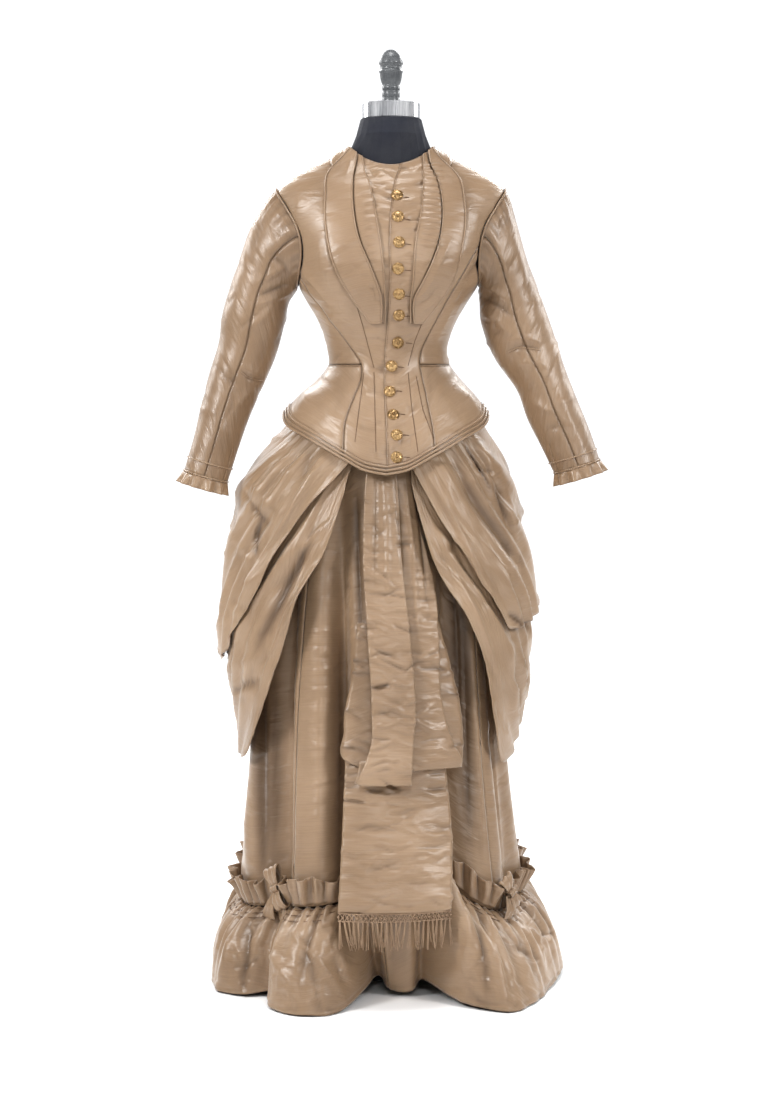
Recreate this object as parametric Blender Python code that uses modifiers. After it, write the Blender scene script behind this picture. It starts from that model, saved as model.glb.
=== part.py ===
"""Bustle dress on a dress form.

Metres, +Z up. The front faces -Y, and the origin is the middle of the stand's underside.
Angles are in degrees round the figure from the centre front, positive towards +X, which is
the wearer's left. A cloth piece is an open surface, given by a function of its place across
and along the piece, with a wall grown outwards from it, so a seam's two edges share a line.
"""

import math
from collections import namedtuple

import bmesh
import bpy
import numpy as np
from mathutils import Vector

WALL = 0.0015
SEAM = 0.0003

WAIST_HEIGHT = 0.984
WAIST_SEAM = 0.0014
WAIST_ROWS = 3
LEVELS = (0.984, 1.014, 1.048, 1.085, 1.125, 1.165, 1.200, 1.232, 1.256, 1.276, 1.298,
          1.316, 1.327)
SHOULDER_HEIGHT = 1.262
NECK_HEIGHT = LEVELS[-1]
NECK_DIP_FRONT = 0.028
NECK_RISE_BACK = 0.010
BUST_HEIGHT = 1.140
BUST_TALL = 0.055
BUST_ANGLE = 36
BUST_WIDE = 20
BUST_DEPTH = 0.013

ARMHOLE_HEIGHT = 1.186
ARMHOLE_TALL = 0.076
ARMHOLE_WIDE = 33
SLEEVE_LIFT = 0.0037
SLEEVE_SEAM = 0.2
FRILL_DEPTH = 0.019
FRILL_WAVES = 11
FRILL_WAVE = 0.0022

OVERLAP_LIFT = 0.0025
OVERLAP_RUN = 0.028
UNDERLAP = 0.012
STAND_WIDE = 0.0175
BAND_SHARE = 0.125
BUTTON_RADIUS = 0.0098
BUTTON_DEPTH = 0.0052
BUTTON_GAP = 0.0004

FOLD_TOP = 0.88
FOLD_FULL = 0.45
FLOUNCE_SEAM = 0.0024
FLOUNCE_BULGE = 0.015
GATHERS = 36
GATHER_DEPTH = 0.0036
RUFFLE_TALL = 0.040
RUFFLE_WAVES = 32
RUFFLE_DEPTH = 0.0042
RUFFLE_LIFT = 0.0004

FRINGE_STRANDS = 25
FRINGE_LENGTH = 0.044
FRINGE_BAND = 0.010

NECK_RADIUS = 0.0488
NECK_ROOT_RADIUS = 0.0555
NECK_TOP = 1.374
BAND_RADIUS = 0.0470
BAND_HEIGHT = 0.0255
POLE_RADIUS = 0.0125
POLE_BACK = 0.030
BASE_RADIUS = 0.115
BASE_HEIGHT = 0.010
FORM_BOTTOM = 0.80

# Radius and height down the finial's outer side
FINIAL_PROFILE = (
    (0, 0.0848), (0.0095, 0.0822), (0.0160, 0.0745), (0.0193, 0.0615), (0.0182, 0.0575),
    (0.0182, 0.0520), (0.0193, 0.0495), (0.0174, 0.0360), (0.0144, 0.0265), (0.0142, 0.0205),
    (0.0122, 0.0180), (0.0122, 0.0120), (0.0143, 0.0095), (0.0143, 0), (0, 0),
)

Section = namedtuple("Section", "height half front back shift")
BODY = [
    Section(0.800, 0.205, 0.156, 0.235, -0.008),
    Section(0.860, 0.190, 0.143, 0.213, -0.008),
    Section(0.908, 0.163, 0.123, 0.184, -0.008),
    Section(0.935, 0.141, 0.110, 0.150, -0.006),
    Section(0.960, 0.1150, 0.0965, 0.113, -0.003),
    Section(0.984, 0.0970, 0.0885, 0.086, -0.003),
    Section(1.008, 0.0955, 0.0885, 0.081, -0.006),
    Section(1.032, 0.1010, 0.0940, 0.083, -0.006),
    Section(1.056, 0.1110, 0.1020, 0.088, -0.006),
    Section(1.080, 0.1250, 0.1090, 0.093, -0.006),
    Section(1.105, 0.1400, 0.1140, 0.098, -0.005),
    Section(1.130, 0.1510, 0.1160, 0.102, -0.003),
    Section(1.160, 0.1610, 0.1150, 0.105, -0.001),
    Section(1.200, 0.1730, 0.1070, 0.105, 0.0),
    Section(1.235, 0.1830, 0.0940, 0.100, 0.0),
    Section(1.262, 0.1800, 0.0810, 0.090, 0.0),
    Section(1.285, 0.1520, 0.0690, 0.080, 0.0),
    Section(1.303, 0.1150, 0.0610, 0.071, 0.0),
    Section(1.318, 0.0830, 0.0550, 0.063, 0.0),
    Section(1.327, 0.0660, 0.0530, 0.058, 0.0),
]
FORM = [
    Section(0.800, 0.128, 0.084, 0.098, 0.0),
    Section(0.860, 0.122, 0.083, 0.100, 0.0),
    Section(0.920, 0.110, 0.083, 0.096, -0.002),
    Section(0.950, 0.1030, 0.0850, 0.0925, -0.003),
    Section(0.970, 0.0977, 0.0830, 0.0872, -0.003),
    Section(0.984, 0.0890, 0.0745, 0.074, -0.003),
]
SKIRT = [
    Section(0.170, 0.229, 0.236, 0.362, -0.016),
    Section(0.250, 0.220, 0.218, 0.350, -0.018),
    Section(0.350, 0.211, 0.192, 0.333, -0.020),
    Section(0.450, 0.205, 0.172, 0.316, -0.020),
    Section(0.550, 0.197, 0.155, 0.298, -0.018),
    Section(0.650, 0.188, 0.139, 0.276, -0.016),
    Section(0.750, 0.176, 0.125, 0.245, -0.014),
    Section(0.820, 0.163, 0.115, 0.212, -0.012),
    Section(0.880, 0.142, 0.104, 0.165, -0.008),
    Section(0.930, 0.119, 0.094, 0.120, -0.005),
    Section(0.970, 0.0985, 0.0840, 0.088, -0.003),
]
DRAPE = [
    Section(0.330, 0.219, 0.222, 0.362, -0.020),
    Section(0.400, 0.221, 0.212, 0.353, -0.020),
    Section(0.450, 0.229, 0.203, 0.344, -0.020),
    Section(0.520, 0.238, 0.192, 0.330, -0.021),
    Section(0.600, 0.240, 0.177, 0.312, -0.020),
    Section(0.660, 0.231, 0.164, 0.300, -0.020),
    Section(0.720, 0.219, 0.151, 0.282, -0.022),
    Section(0.780, 0.205, 0.138, 0.256, -0.022),
    Section(0.820, 0.190, 0.129, 0.232, -0.018),
    Section(0.860, 0.168, 0.118, 0.198, -0.013),
    Section(0.900, 0.145, 0.107, 0.158, -0.008),
    Section(0.930, 0.1275, 0.0995, 0.128, -0.005),
    Section(0.955, 0.1097, 0.0918, 0.1034, -0.003),
]

BasqueHem = namedtuple("BasqueHem", "angle height")
BASQUE_HEM = [
    BasqueHem(0, 0.8125),
    BasqueHem(10, 0.820),
    BasqueHem(19, 0.836),
    BasqueHem(38, 0.865),
    BasqueHem(60, 0.886),
    BasqueHem(86, 0.908),
    BasqueHem(110, 0.902),
    BasqueHem(140, 0.884),
    BasqueHem(180, 0.868),
]
# Degrees from the centre front for the two fronts, and from the centre back for the backs
SeamLine = namedtuple("SeamLine", "height right left back")
SEAMS = [
    SeamLine(0.800, 18, 22, 14),
    SeamLine(0.880, 21, 24, 14),
    SeamLine(0.984, 27, 30, 15),
    SeamLine(1.056, 56, 45, 24),
    SeamLine(1.105, 67, 49, 35),
    SeamLine(1.150, 76, 54, 47),
    SeamLine(1.180, 80, 59, 57),
]
Closure = namedtuple("Closure", "height edge")
CLOSURE = [
    Closure(0.800, -0.005),
    Closure(0.880, -0.008),
    Closure(0.970, -0.011),
    Closure(1.100, -0.003),
    Closure(1.210, -0.002),
    Closure(1.327, 0.013),
]
Button = namedtuple("Button", "height across")
BUTTONS = [
    Button(1.2480, 0.0094),
    Button(1.2138, 0.0110),
    Button(1.1730, 0.0126),
    Button(1.1320, 0.0110),
    Button(1.0930, 0.0126),
    Button(1.0600, 0.0126),
    Button(1.0175, 0.0110),
    Button(0.9814, 0.0010),
    Button(0.9420, -0.0020),
    Button(0.9060, 0.0035),
    Button(0.8746, 0.0090),
    Button(0.8400, 0.0090),
]
Revers = namedtuple("Revers", "height outer middle inner")
REVERS = {
    -1: [
        Revers(1.040, 0.0250, 0.0150, 0.0095),
        Revers(1.088, 0.0590, 0.0150, 0.0095),
        Revers(1.130, 0.0820, 0.0290, 0.0115),
        Revers(1.179, 0.0950, 0.0480, 0.0170),
        Revers(1.239, 0.0990, 0.0580, 0.0270),
        Revers(1.302, 0.0870, 0.0550, 0.0400),
        Revers(1.327, 0.0610, 0.0500, 0.0430),
    ],
    1: [
        Revers(1.040, 0.0400, 0.0340, 0.0290),
        Revers(1.088, 0.0760, 0.0350, 0.0300),
        Revers(1.113, 0.0910, 0.0480, 0.0330),
        Revers(1.176, 0.1080, 0.0730, 0.0380),
        Revers(1.233, 0.1110, 0.0780, 0.0480),
        Revers(1.295, 0.0930, 0.0650, 0.0500),
        Revers(1.327, 0.0610, 0.0540, 0.0480),
    ],
}
REVERS_START = 2
REVERS_LIFT = 0.0015
COLLAR_LEVELS = (1.298, 1.316, 1.327)
COLLAR_GAP = 0.5
COLLAR_LIFT = 0.0027

SKIRT_GAP = 0.08
COLUMN_STEP = 2.6
ROW_STEP = 0.008
FLOUNCE_ROWS = (0, 0.14, 0.4, 0.7, 1)

SleeveRing = namedtuple("SleeveRing", "along out forward height lean across deep")
SLEEVES = {
    -1: [
        SleeveRing(0.00, 0.182, 0.000, 1.183, 72, 0.0660, 0.060),
        SleeveRing(0.10, 0.1882, 0.000, 1.1545, 52, 0.0603, 0.058),
        SleeveRing(0.20, 0.1985, 0.000, 1.1260, 37, 0.0512, 0.054),
        SleeveRing(0.31, 0.2100, 0.001, 1.0990, 19, 0.0480, 0.051),
        SleeveRing(0.43, 0.2213, 0.002, 1.0552, 10, 0.0495, 0.050),
        SleeveRing(0.55, 0.2312, 0.002, 1.0080, 14, 0.0460, 0.048),
        SleeveRing(0.66, 0.2490, 0.006, 0.960, 18, 0.0430, 0.046),
        SleeveRing(0.77, 0.2655, 0.014, 0.911, 17, 0.0390, 0.043),
        SleeveRing(0.88, 0.2790, 0.024, 0.863, 16, 0.0360, 0.040),
        SleeveRing(1.00, 0.2960, 0.034, 0.806, 16, 0.0350, 0.036),
    ],
    1: [
        SleeveRing(0.00, 0.179, 0.000, 1.183, 74, 0.0640, 0.060),
        SleeveRing(0.10, 0.1740, 0.000, 1.1490, 54, 0.0545, 0.057),
        SleeveRing(0.20, 0.1800, 0.000, 1.1220, 36, 0.0470, 0.053),
        SleeveRing(0.31, 0.1880, 0.001, 1.0975, 15, 0.0470, 0.051),
        SleeveRing(0.43, 0.1985, 0.002, 1.0550, 6, 0.0530, 0.050),
        SleeveRing(0.55, 0.2160, 0.002, 1.008, 15, 0.0505, 0.048),
        SleeveRing(0.66, 0.2410, 0.006, 0.960, 22, 0.0415, 0.045),
        SleeveRing(0.77, 0.2595, 0.014, 0.911, 19, 0.0420, 0.043),
        SleeveRing(0.88, 0.2795, 0.024, 0.866, 18, 0.0400, 0.040),
        SleeveRing(1.00, 0.2970, 0.034, 0.822, 17, 0.0370, 0.037),
    ],
}

# Lengthwise folds of the underskirt: where each runs at its top and at the flounce
Fold = namedtuple("Fold", "top flounce width depth")
FOLDS = [
    Fold(-92, -94, 7, 0.018),
    Fold(-52, -47, 7, 0.036),
    Fold(-22, -15, 5.5, 0.042),
    Fold(15, 18, 6, 0.022),
    Fold(35, 34, 6.5, 0.034),
    Fold(66, 68, 8, 0.018),
    Fold(92, 95, 7, 0.020),
    Fold(118, 120, 7, 0.026),
    Fold(140, 142, 6, 0.030),
    Fold(158, 160, 5.5, 0.032),
    Fold(180, 180, 5.5, 0.030),
    Fold(-158, -160, 5.5, 0.032),
    Fold(-139, -141, 6, 0.030),
    Fold(-117, -119, 7, 0.026),
]
HemPoint = namedtuple("HemPoint", "angle reach lift")
HEM = [
    HemPoint(-180, 0.420, 0.004),
    HemPoint(-166, 0.428, 0.002),
    HemPoint(-152, 0.380, 0.005),
    HemPoint(-138, 0.362, 0.002),
    HemPoint(-122, 0.312, 0.005),
    HemPoint(-104, 0.290, 0.002),
    HemPoint(-86, 0.288, 0.002),
    HemPoint(-69, 0.302, 0.003),
    HemPoint(-58, 0.308, 0.002),
    HemPoint(-51, 0.292, 0.004),
    HemPoint(-45, 0.258, 0.010),
    HemPoint(-39, 0.300, 0.004),
    HemPoint(-31, 0.326, 0.002),
    HemPoint(-23, 0.326, 0.002),
    HemPoint(-15, 0.285, 0.004),
    HemPoint(-9, 0.165, 0.026),
    HemPoint(0, 0.178, 0.010),
    HemPoint(10, 0.186, 0.010),
    HemPoint(17, 0.176, 0.024),
    HemPoint(24, 0.262, 0.008),
    HemPoint(32, 0.328, 0.002),
    HemPoint(43, 0.318, 0.002),
    HemPoint(60, 0.288, 0.003),
    HemPoint(84, 0.280, 0.010),
    HemPoint(104, 0.286, 0.002),
    HemPoint(122, 0.312, 0.005),
    HemPoint(138, 0.362, 0.002),
    HemPoint(152, 0.380, 0.005),
    HemPoint(166, 0.428, 0.002),
    HemPoint(180, 0.420, 0.004),
]
Heading = namedtuple("Heading", "angle height")
HEADING = [
    Heading(-180, 0.165),
    Heading(-120, 0.150),
    Heading(-90, 0.130),
    Heading(-68, 0.126),
    Heading(-46, 0.139),
    Heading(-25, 0.150),
    Heading(-12, 0.160),
    Heading(5, 0.188),
    Heading(18, 0.218),
    Heading(24, 0.224),
    Heading(30, 0.200),
    Heading(36, 0.166),
    Heading(43, 0.143),
    Heading(56, 0.126),
    Heading(78, 0.134),
    Heading(120, 0.150),
    Heading(180, 0.165),
]

# The side drapes: the lower edge of each tier by its angle from the front
Tier = namedtuple("Tier", "angle upper lower")
TIERS = {
    -1: [
        Tier(13, 0.835, 0.785),
        Tier(20, 0.800, 0.700),
        Tier(27, 0.770, 0.650),
        Tier(32, 0.745, 0.600),
        Tier(40, 0.695, 0.520),
        Tier(48, 0.635, 0.465),
        Tier(58, 0.580, 0.405),
        Tier(68, 0.540, 0.366),
        Tier(82, 0.515, 0.358),
        Tier(100, 0.510, 0.372),
        Tier(125, 0.560, 0.440),
        Tier(150, 0.640, 0.540),
    ],
    1: [
        Tier(15, 0.820, 0.800),
        Tier(21, 0.780, 0.690),
        Tier(26, 0.740, 0.642),
        Tier(35, 0.680, 0.585),
        Tier(45, 0.615, 0.510),
        Tier(52, 0.575, 0.420),
        Tier(60, 0.570, 0.362),
        Tier(72, 0.580, 0.370),
        Tier(88, 0.595, 0.410),
        Tier(105, 0.590, 0.420),
        Tier(125, 0.600, 0.460),
        Tier(150, 0.650, 0.540),
    ],
}
TIER_SLANT = 0.0050
TIER_PITCH = 0.060
UPPER_LIFT = 0.0095
UPPER_SEAT = 0.0026
UPPER_FOLD = 0.013
TUCKED = (105, 125)
LOWER_FOLD = 0.012
LOWER_FLAT = 0.0045
BACK_DRAPE_ANGLE = 128
BACK_DRAPE_TOP = 0.952
BACK_DRAPE_BOTTOM = 0.500
BACK_DRAPE_PUFF = 0.034
BACK_DRAPE_LIFT = 0.026
BACK_DRAPE_SEAT = 0.0062

# Sash strips in front: the path down by height and stand-off, and the edges by X
SashRow = namedtuple("SashRow", "along height stand left right")
FRONT_LOOP = [
    SashRow(0.00, 0.850, 0.0034, -0.036, 0.006),
    SashRow(0.15, 0.770, 0.0130, -0.042, 0.012),
    SashRow(0.33, 0.670, 0.0210, -0.043, 0.018),
    SashRow(0.52, 0.560, 0.0290, -0.036, 0.030),
    SashRow(0.72, 0.455, 0.0355, -0.030, 0.038),
    SashRow(0.86, 0.392, 0.0385, -0.033, 0.034),
    SashRow(0.94, 0.352, 0.0395, -0.050, 0.032),
    SashRow(0.965, 0.340, 0.0355, -0.057, 0.032),
    SashRow(0.98, 0.350, 0.0312, -0.053, 0.031),
    SashRow(1.00, 0.376, 0.0300, -0.048, 0.031),
]
BACK_LOOP = [
    SashRow(0.00, 0.845, 0.0011, -0.010, 0.026),
    SashRow(0.12, 0.740, 0.0080, -0.006, 0.044),
    SashRow(0.25, 0.640, 0.0130, -0.006, 0.068),
    SashRow(0.38, 0.550, 0.0185, -0.002, 0.075),
    SashRow(0.50, 0.470, 0.0230, 0.000, 0.078),
    SashRow(0.60, 0.405, 0.0255, 0.000, 0.094),
    SashRow(0.655, 0.371, 0.0265, -0.006, 0.110),
    SashRow(0.68, 0.360, 0.0225, -0.020, 0.110),
    SashRow(0.705, 0.371, 0.0185, -0.066, 0.112),
    SashRow(0.76, 0.420, 0.0160, -0.073, 0.112),
    SashRow(0.88, 0.505, 0.0125, -0.060, 0.096),
    SashRow(1.00, 0.583, 0.0092, -0.053, 0.074),
]
TAIL = [
    SashRow(0.00, 0.560, 0.0058, -0.050, 0.066),
    SashRow(0.30, 0.440, 0.0092, -0.066, 0.076),
    SashRow(0.60, 0.330, 0.0138, -0.0725, 0.088),
    SashRow(0.80, 0.250, 0.0210, -0.0755, 0.0945),
    SashRow(1.00, 0.150, 0.0345, -0.081, 0.092),
]

BowPlace = namedtuple("BowPlace", "name angle rise stand turn")
BOWS = [
    BowPlace("bow_R", -46, 0.028, 0.0310, 68),
    BowPlace("bow_L", 55, 0.030, 0.0189, 62),
]

SILK = ((0.45, 0.33, 0.24), 0.5, 0.0)
SILK_EDGE = ((0.36, 0.25, 0.17), 0.55, 0.0)
GILT = ((0.55, 0.36, 0.16), 0.35, 0.8)
FORM_CLOTH = ((0.04, 0.042, 0.048), 0.85, 0.0)
CHROME = ((0.75, 0.76, 0.78), 0.12, 1.0)
GREY_KNOB = ((0.17, 0.175, 0.18), 0.4, 0.1)
STAND_BLACK = ((0.03, 0.03, 0.032), 0.45, 0.3)


def read(table, name, at):
    """One column of a table, as a smooth curve over the table's first column."""
    keys = np.array([row[0] for row in table])
    values = np.array([getattr(row, name) for row in table])
    slopes = np.gradient(values, keys)
    at = np.clip(at, keys[0], keys[-1])
    i = np.clip(np.searchsorted(keys, at, side="right") - 1, 0, len(keys) - 2)
    span = keys[i + 1] - keys[i]
    t = (at - keys[i]) / span
    rising = (t**3 - 2 * t**2 + t) * slopes[i] + (t**3 - t**2) * slopes[i + 1]
    return values[i] + (3 * t**2 - 2 * t**3) * (values[i + 1] - values[i]) + span * rising


def around(angle):
    """The same direction between -180 and 180 degrees, as the tables round the skirt have it."""
    return (angle + 180) % 360 - 180


def ease(at, start, end):
    """0 at start, 1 at end, level at both."""
    t = np.clip((at - start) / (end - start), 0, 1)
    return t * t * (3 - 2 * t)


def bump(t):
    return np.exp(-t * t)


def between(a, b, t):
    return a + (b - a) * t


def on_section(table, angle, height, out):
    """X and Y on the table's oval at this height, moved out."""
    turn = np.radians(angle)
    front = read(table, "front", height)
    depth = np.where(np.cos(turn) > 0, front, read(table, "back", height))
    half = read(table, "half", height)
    x = read(table, "shift", height) + (half + out) * np.sin(turn)
    return x, -(depth + out) * np.cos(turn)


def body(angle, height, out=0.0):
    """The bodice's inner surface, with its bust, shoulders and dipped neck."""
    turn = np.radians(angle)
    rise = 0.85 * ease(height, 1.230, 1.290) * np.sin(turn) ** 2
    x, y = on_section(BODY, angle, height, out * np.sqrt(1 - rise**2))
    bust = BUST_DEPTH * bump((height - BUST_HEIGHT) / BUST_TALL)
    bust = bust * bump((np.abs(angle) - BUST_ANGLE) / BUST_WIDE)
    dip = np.where(np.cos(turn) > 0, NECK_DIP_FRONT, -NECK_RISE_BACK) * np.cos(turn) ** 2
    dip = dip * ease(height, SHOULDER_HEIGHT, NECK_HEIGHT)
    return np.stack(np.broadcast_arrays(x, y - bust, height + out * rise - dip), axis=-1)


def angle_at(table, x, height):
    """The angle in front at which the section reaches this X."""
    reach = (x - read(table, "shift", height)) / read(table, "half", height)
    return np.degrees(np.arcsin(np.clip(reach, -1, 1)))


def armhole_angle(height):
    """How far the armhole's edge lies from the side, in degrees, at this height."""
    t = np.clip((height - ARMHOLE_HEIGHT) / ARMHOLE_TALL, -1, 1)
    return ARMHOLE_WIDE * np.sqrt(1 - t * t)


def armhole_bottom(from_side):
    """Height of the armhole's lower edge this many degrees from the side."""
    t = np.clip(from_side / ARMHOLE_WIDE, -1, 1)
    return ARMHOLE_HEIGHT - ARMHOLE_TALL * np.sqrt(1 - t * t)


def seam_angle(facing, side, height):
    if facing < 0:
        return read(SEAMS, "back", height)
    return read(SEAMS, "right" if side < 0 else "left", height)


def facing_angle(facing, side, angle):
    """Turns degrees from the centre front or the centre back into the angle round the figure."""
    return side * (angle if facing > 0 else 180 - angle)


def seam_gap(height):
    """Half a seam's gap, in degrees round the body; the walls lean together beside the bust."""
    wide = 1.4 + bump((height - BUST_HEIGHT) / BUST_TALL)
    return np.degrees(wide * SEAM / read(BODY, "half", height))


def outer_edge(facing, side, height):
    """Where a front or a back ends: at its long seam, then the armhole, then the shoulder."""
    hole = 90 - armhole_angle(height)
    seam = seam_angle(facing, side, height)
    edge = np.where(height < ARMHOLE_HEIGHT, np.minimum(seam, hole), hole)
    return edge - seam_gap(height)


def level_heights(rows, hem):
    """Heights of a piece's rows: evenly up from the hem, and on the shared levels above."""
    lower = between(hem, LEVELS[0], np.clip(rows / WAIST_ROWS, 0, 1))
    upper = np.interp(rows - WAIST_ROWS, np.arange(len(LEVELS)), LEVELS)
    return np.where(rows < WAIST_ROWS, lower, upper)


def front_lift(angle, height):
    """How far the left front stands off the body, to clear the right one that runs under it."""
    x = read(BODY, "half", height) * np.sin(np.radians(angle))
    past = x - read(CLOSURE, "edge", height) - STAND_WIDE
    return OVERLAP_LIFT * (1 - np.clip(past / OVERLAP_RUN, 0, 1))


def front(side):
    """A bodice front, from the basque's hem to the neck; the left one laps over the right.

    Its first BAND_SHARE across is the button stand, which keeps its width.
    """

    def surface(u, v, out=0.0):
        height = level_heights(v, 0.83)
        for _ in range(3):
            edge = read(CLOSURE, "edge", height) + (UNDERLAP if side < 0 else 0)
            start = angle_at(BODY, edge, height)
            band = angle_at(BODY, edge + side * STAND_WIDE, height)
            past = (u - BAND_SHARE) / (1 - BAND_SHARE)
            rest = between(band, side * outer_edge(1, side, height), past)
            angle = np.where(u < BAND_SHARE, between(start, band, u / BAND_SHARE), rest)
            height = level_heights(v, read(BASQUE_HEM, "height", np.abs(angle)))
        lift = 0
        if side > 0:
            lift = front_lift(angle, height)
        return body(angle, height, out + lift)

    return surface


def back(side):
    def surface(u, v, out=0.0):
        height = level_heights(v + WAIST_ROWS, 0)
        angle = between(seam_gap(height), outer_edge(-1, side, height), u)
        return body(facing_angle(-1, side, angle), height, out)

    return surface


def side_panel(facing, side):
    """A side front or side back, from the waist seam up to the armhole."""

    def surface(u, v, out=0.0):
        height = np.full_like(u, 1.05)
        for _ in range(12):
            seam = seam_angle(facing, side, height) + seam_gap(height)
            angle = between(seam, 90 - seam_gap(height), u)
            top = armhole_bottom(90 - angle) - SEAM
            height = between(height, between(WAIST_HEIGHT, top, v), 0.6)
        return body(facing_angle(facing, side, angle), height, out)

    return surface


def side_rows(facing, side):
    """Rows for a side panel: on the shared levels along its long seam, then its top."""
    top = side_panel(facing, side)(np.zeros(1), np.ones(1))[0][2]
    levels = [level for level in LEVELS if level < top - ROW_STEP]
    return [(level - WAIST_HEIGHT) / (top - WAIST_HEIGHT) for level in levels + [top]]


def basque(facing, side):
    """A basque skirt, sewn on at the waist seam: the side one reaches back past the side."""
    split = 102

    def surface(u, v, out=0.0):
        height = np.full_like(u, 0.93)
        for _ in range(3):
            gap = seam_gap(height)
            if facing > 0:
                angle = between(seam_angle(1, side, height) + gap, split - gap, u)
            else:
                angle = between(180 - gap, split + gap, u)
            hem = read(BASQUE_HEM, "height", angle)
            height = between(hem, WAIST_HEIGHT - WAIST_SEAM, v)
        return body(side * angle, height, out)

    return surface


def revers(side, inside):
    """A revers on its front: the outer one, or the inner one beside it towards the closure."""

    def surface(u, v, out=0.0):
        height = np.interp(v + REVERS_START, np.arange(len(LEVELS)), LEVELS)
        near = read(REVERS[side], "inner" if inside else "middle", height)
        far = read(REVERS[side], "middle" if inside else "outer", height)
        far = np.maximum(far - (SEAM if inside else 0), near + 0.001)
        angle = angle_at(BODY, side * between(near, far, u), height)
        lift = WALL + REVERS_LIFT
        if side > 0:
            lift = lift + front_lift(angle, height)
        return body(angle, height, out + lift)

    return surface


def collar(u, v, out=0.0):
    """The collar behind the neck, from one outer revers to the other."""
    height = np.interp(v, np.arange(len(COLLAR_LEVELS)), COLLAR_LEVELS)
    right, left = (
        angle_at(BODY, side * read(REVERS[side], "outer", height), height) for side in (-1, 1)
    )
    angle = between(right - COLLAR_GAP, left + COLLAR_GAP - 360, u)
    return body(angle, height, out + WALL + COLLAR_LIFT)


def sleeve_frame(side, along):
    """Middle of the sleeve, and the directions outward across it and down it."""
    table = SLEEVES[side]
    lean = np.radians(read(table, "lean", along))
    middle = [
        side * read(table, "out", along),
        -read(table, "forward", along),
        read(table, "height", along),
    ]
    still = np.zeros_like(lean)
    across = [side * np.cos(lean), still, np.sin(lean)]
    down = [side * np.sin(lean), still, -np.cos(lean)]
    return [np.stack(np.broadcast_arrays(*axis), axis=-1) for axis in (middle, across, down)]


def sleeve(side, start, end):
    """Part of the sleeve's round, in degrees from its outer line by way of its front."""

    def surface(u, v, out=0.0):
        turn = np.radians(between(start, end, u))
        middle, across, _ = sleeve_frame(side, v)
        wide = (read(SLEEVES[side], "across", v) + out) * np.cos(turn)
        deep = (read(SLEEVES[side], "deep", v) + out) * np.sin(turn)
        tube = middle + wide[..., None] * across + deep[..., None] * np.array([0.0, -1.0, 0.0])
        spread = 1.02 + out / ARMHOLE_TALL
        angle = 90 - ARMHOLE_WIDE * spread * np.sin(turn)
        height = ARMHOLE_HEIGHT + ARMHOLE_TALL * spread * np.cos(turn)
        head = body(side * angle, height, SLEEVE_LIFT)
        return between(head, tube, ease(v, 0, 0.14)[..., None])

    return surface


def cuff_frill(side):
    """The pleated frill that stands out of the wrist."""

    def surface(u, v, out=0.0):
        turn = 2 * math.pi * u
        middle, across, down = sleeve_frame(side, np.ones_like(u))
        middle = middle + (3 * SEAM + FRILL_DEPTH * v)[..., None] * down
        wave = (0.004 * v + FRILL_WAVE * (0.4 + 0.6 * v)) * (1 + np.sin(FRILL_WAVES * turn))
        grow = out + wave * 0.7
        wide = (read(SLEEVES[side], "across", 1.0) + grow) * np.cos(turn)
        deep = (read(SLEEVES[side], "deep", 1.0) + grow) * np.sin(turn)
        return middle + wide[..., None] * across + deep[..., None] * np.array([0.0, -1.0, 0.0])

    return surface


def fold_depth(angle, height):
    """How far the underskirt falls back into its lengthwise folds."""
    total = 0
    down = ease(height, 0.80, 0.17)
    for fold in FOLDS:
        at = between(fold.top, fold.flounce, down)
        away = around(angle - at)
        total = total + fold.depth * bump(away / fold.width)
    return total * (1 - ease(height, FOLD_FULL, FOLD_TOP))


def skirt(angle, height, out=0.0):
    x, y = on_section(SKIRT, angle, height, out - fold_depth(angle, height))
    return np.stack(np.broadcast_arrays(x, y, height), axis=-1)


def underskirt(start, end):
    def surface(u, v, out=0.0):
        angle = between(start, end, u)
        foot = read(HEADING, "height", around(angle)) + SEAM / 2
        return skirt(angle, between(foot, SKIRT[-1].height, v), out)

    return surface


def flounce(start, end):
    """The gathered flounce: it swells below its shirred top and reaches out to the hem."""

    def surface(u, v, out=0.0):
        angle = around(between(start, end, u))
        top = read(HEADING, "height", angle) - FLOUNCE_SEAM
        x, y, _ = np.moveaxis(skirt(angle, top), -1, 0)
        turn = np.radians(angle)
        reach = read(HEM, "reach", angle)
        spread = v ** 0.85
        gather = GATHER_DEPTH * (1 - v) ** 0.7 * (1 + np.cos(GATHERS * turn)) / 2
        behind_sash = bump((angle - 5) / 16)
        swell = FLOUNCE_BULGE * (1 - 0.8 * behind_sash) * np.sin(math.pi * v ** 0.75)
        swell = swell + gather * ease(v, 0, 0.15) + out
        x = between(x, reach * np.sin(turn), spread) + swell * np.sin(turn)
        y = between(y, -reach * np.cos(turn), spread) - swell * np.cos(turn)
        return np.stack([x, y, between(top, read(HEM, "lift", angle), v)], axis=-1)

    return surface


def ruffle(start, end):
    """The flounce's standing heading, ruffled outside the underskirt."""

    def surface(u, v, out=0.0):
        angle = between(start, end, u)
        height = read(HEADING, "height", angle) + 0.003 + RUFFLE_TALL * v
        wave = RUFFLE_DEPTH * (0.45 + 0.55 * v) * (1 + np.sin(RUFFLE_WAVES * np.radians(angle)))
        slack = 0.2 * fold_depth(angle, height)
        return skirt(angle, height, out + WALL + RUFFLE_LIFT + slack + wave + 0.006 * v)

    return surface


def tier_wave(angle, height):
    """Swags that slant down from the front, 0 in their troughs and 1 on their crests."""
    along = (height + TIER_SLANT * np.abs(angle)) / TIER_PITCH
    return (1 + np.sin(2 * math.pi * along)) / 2


def drape(angle, height, out=0.0):
    x, y = on_section(DRAPE, angle, height, out)
    return np.stack(np.broadcast_arrays(x, y, height), axis=-1)


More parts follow.
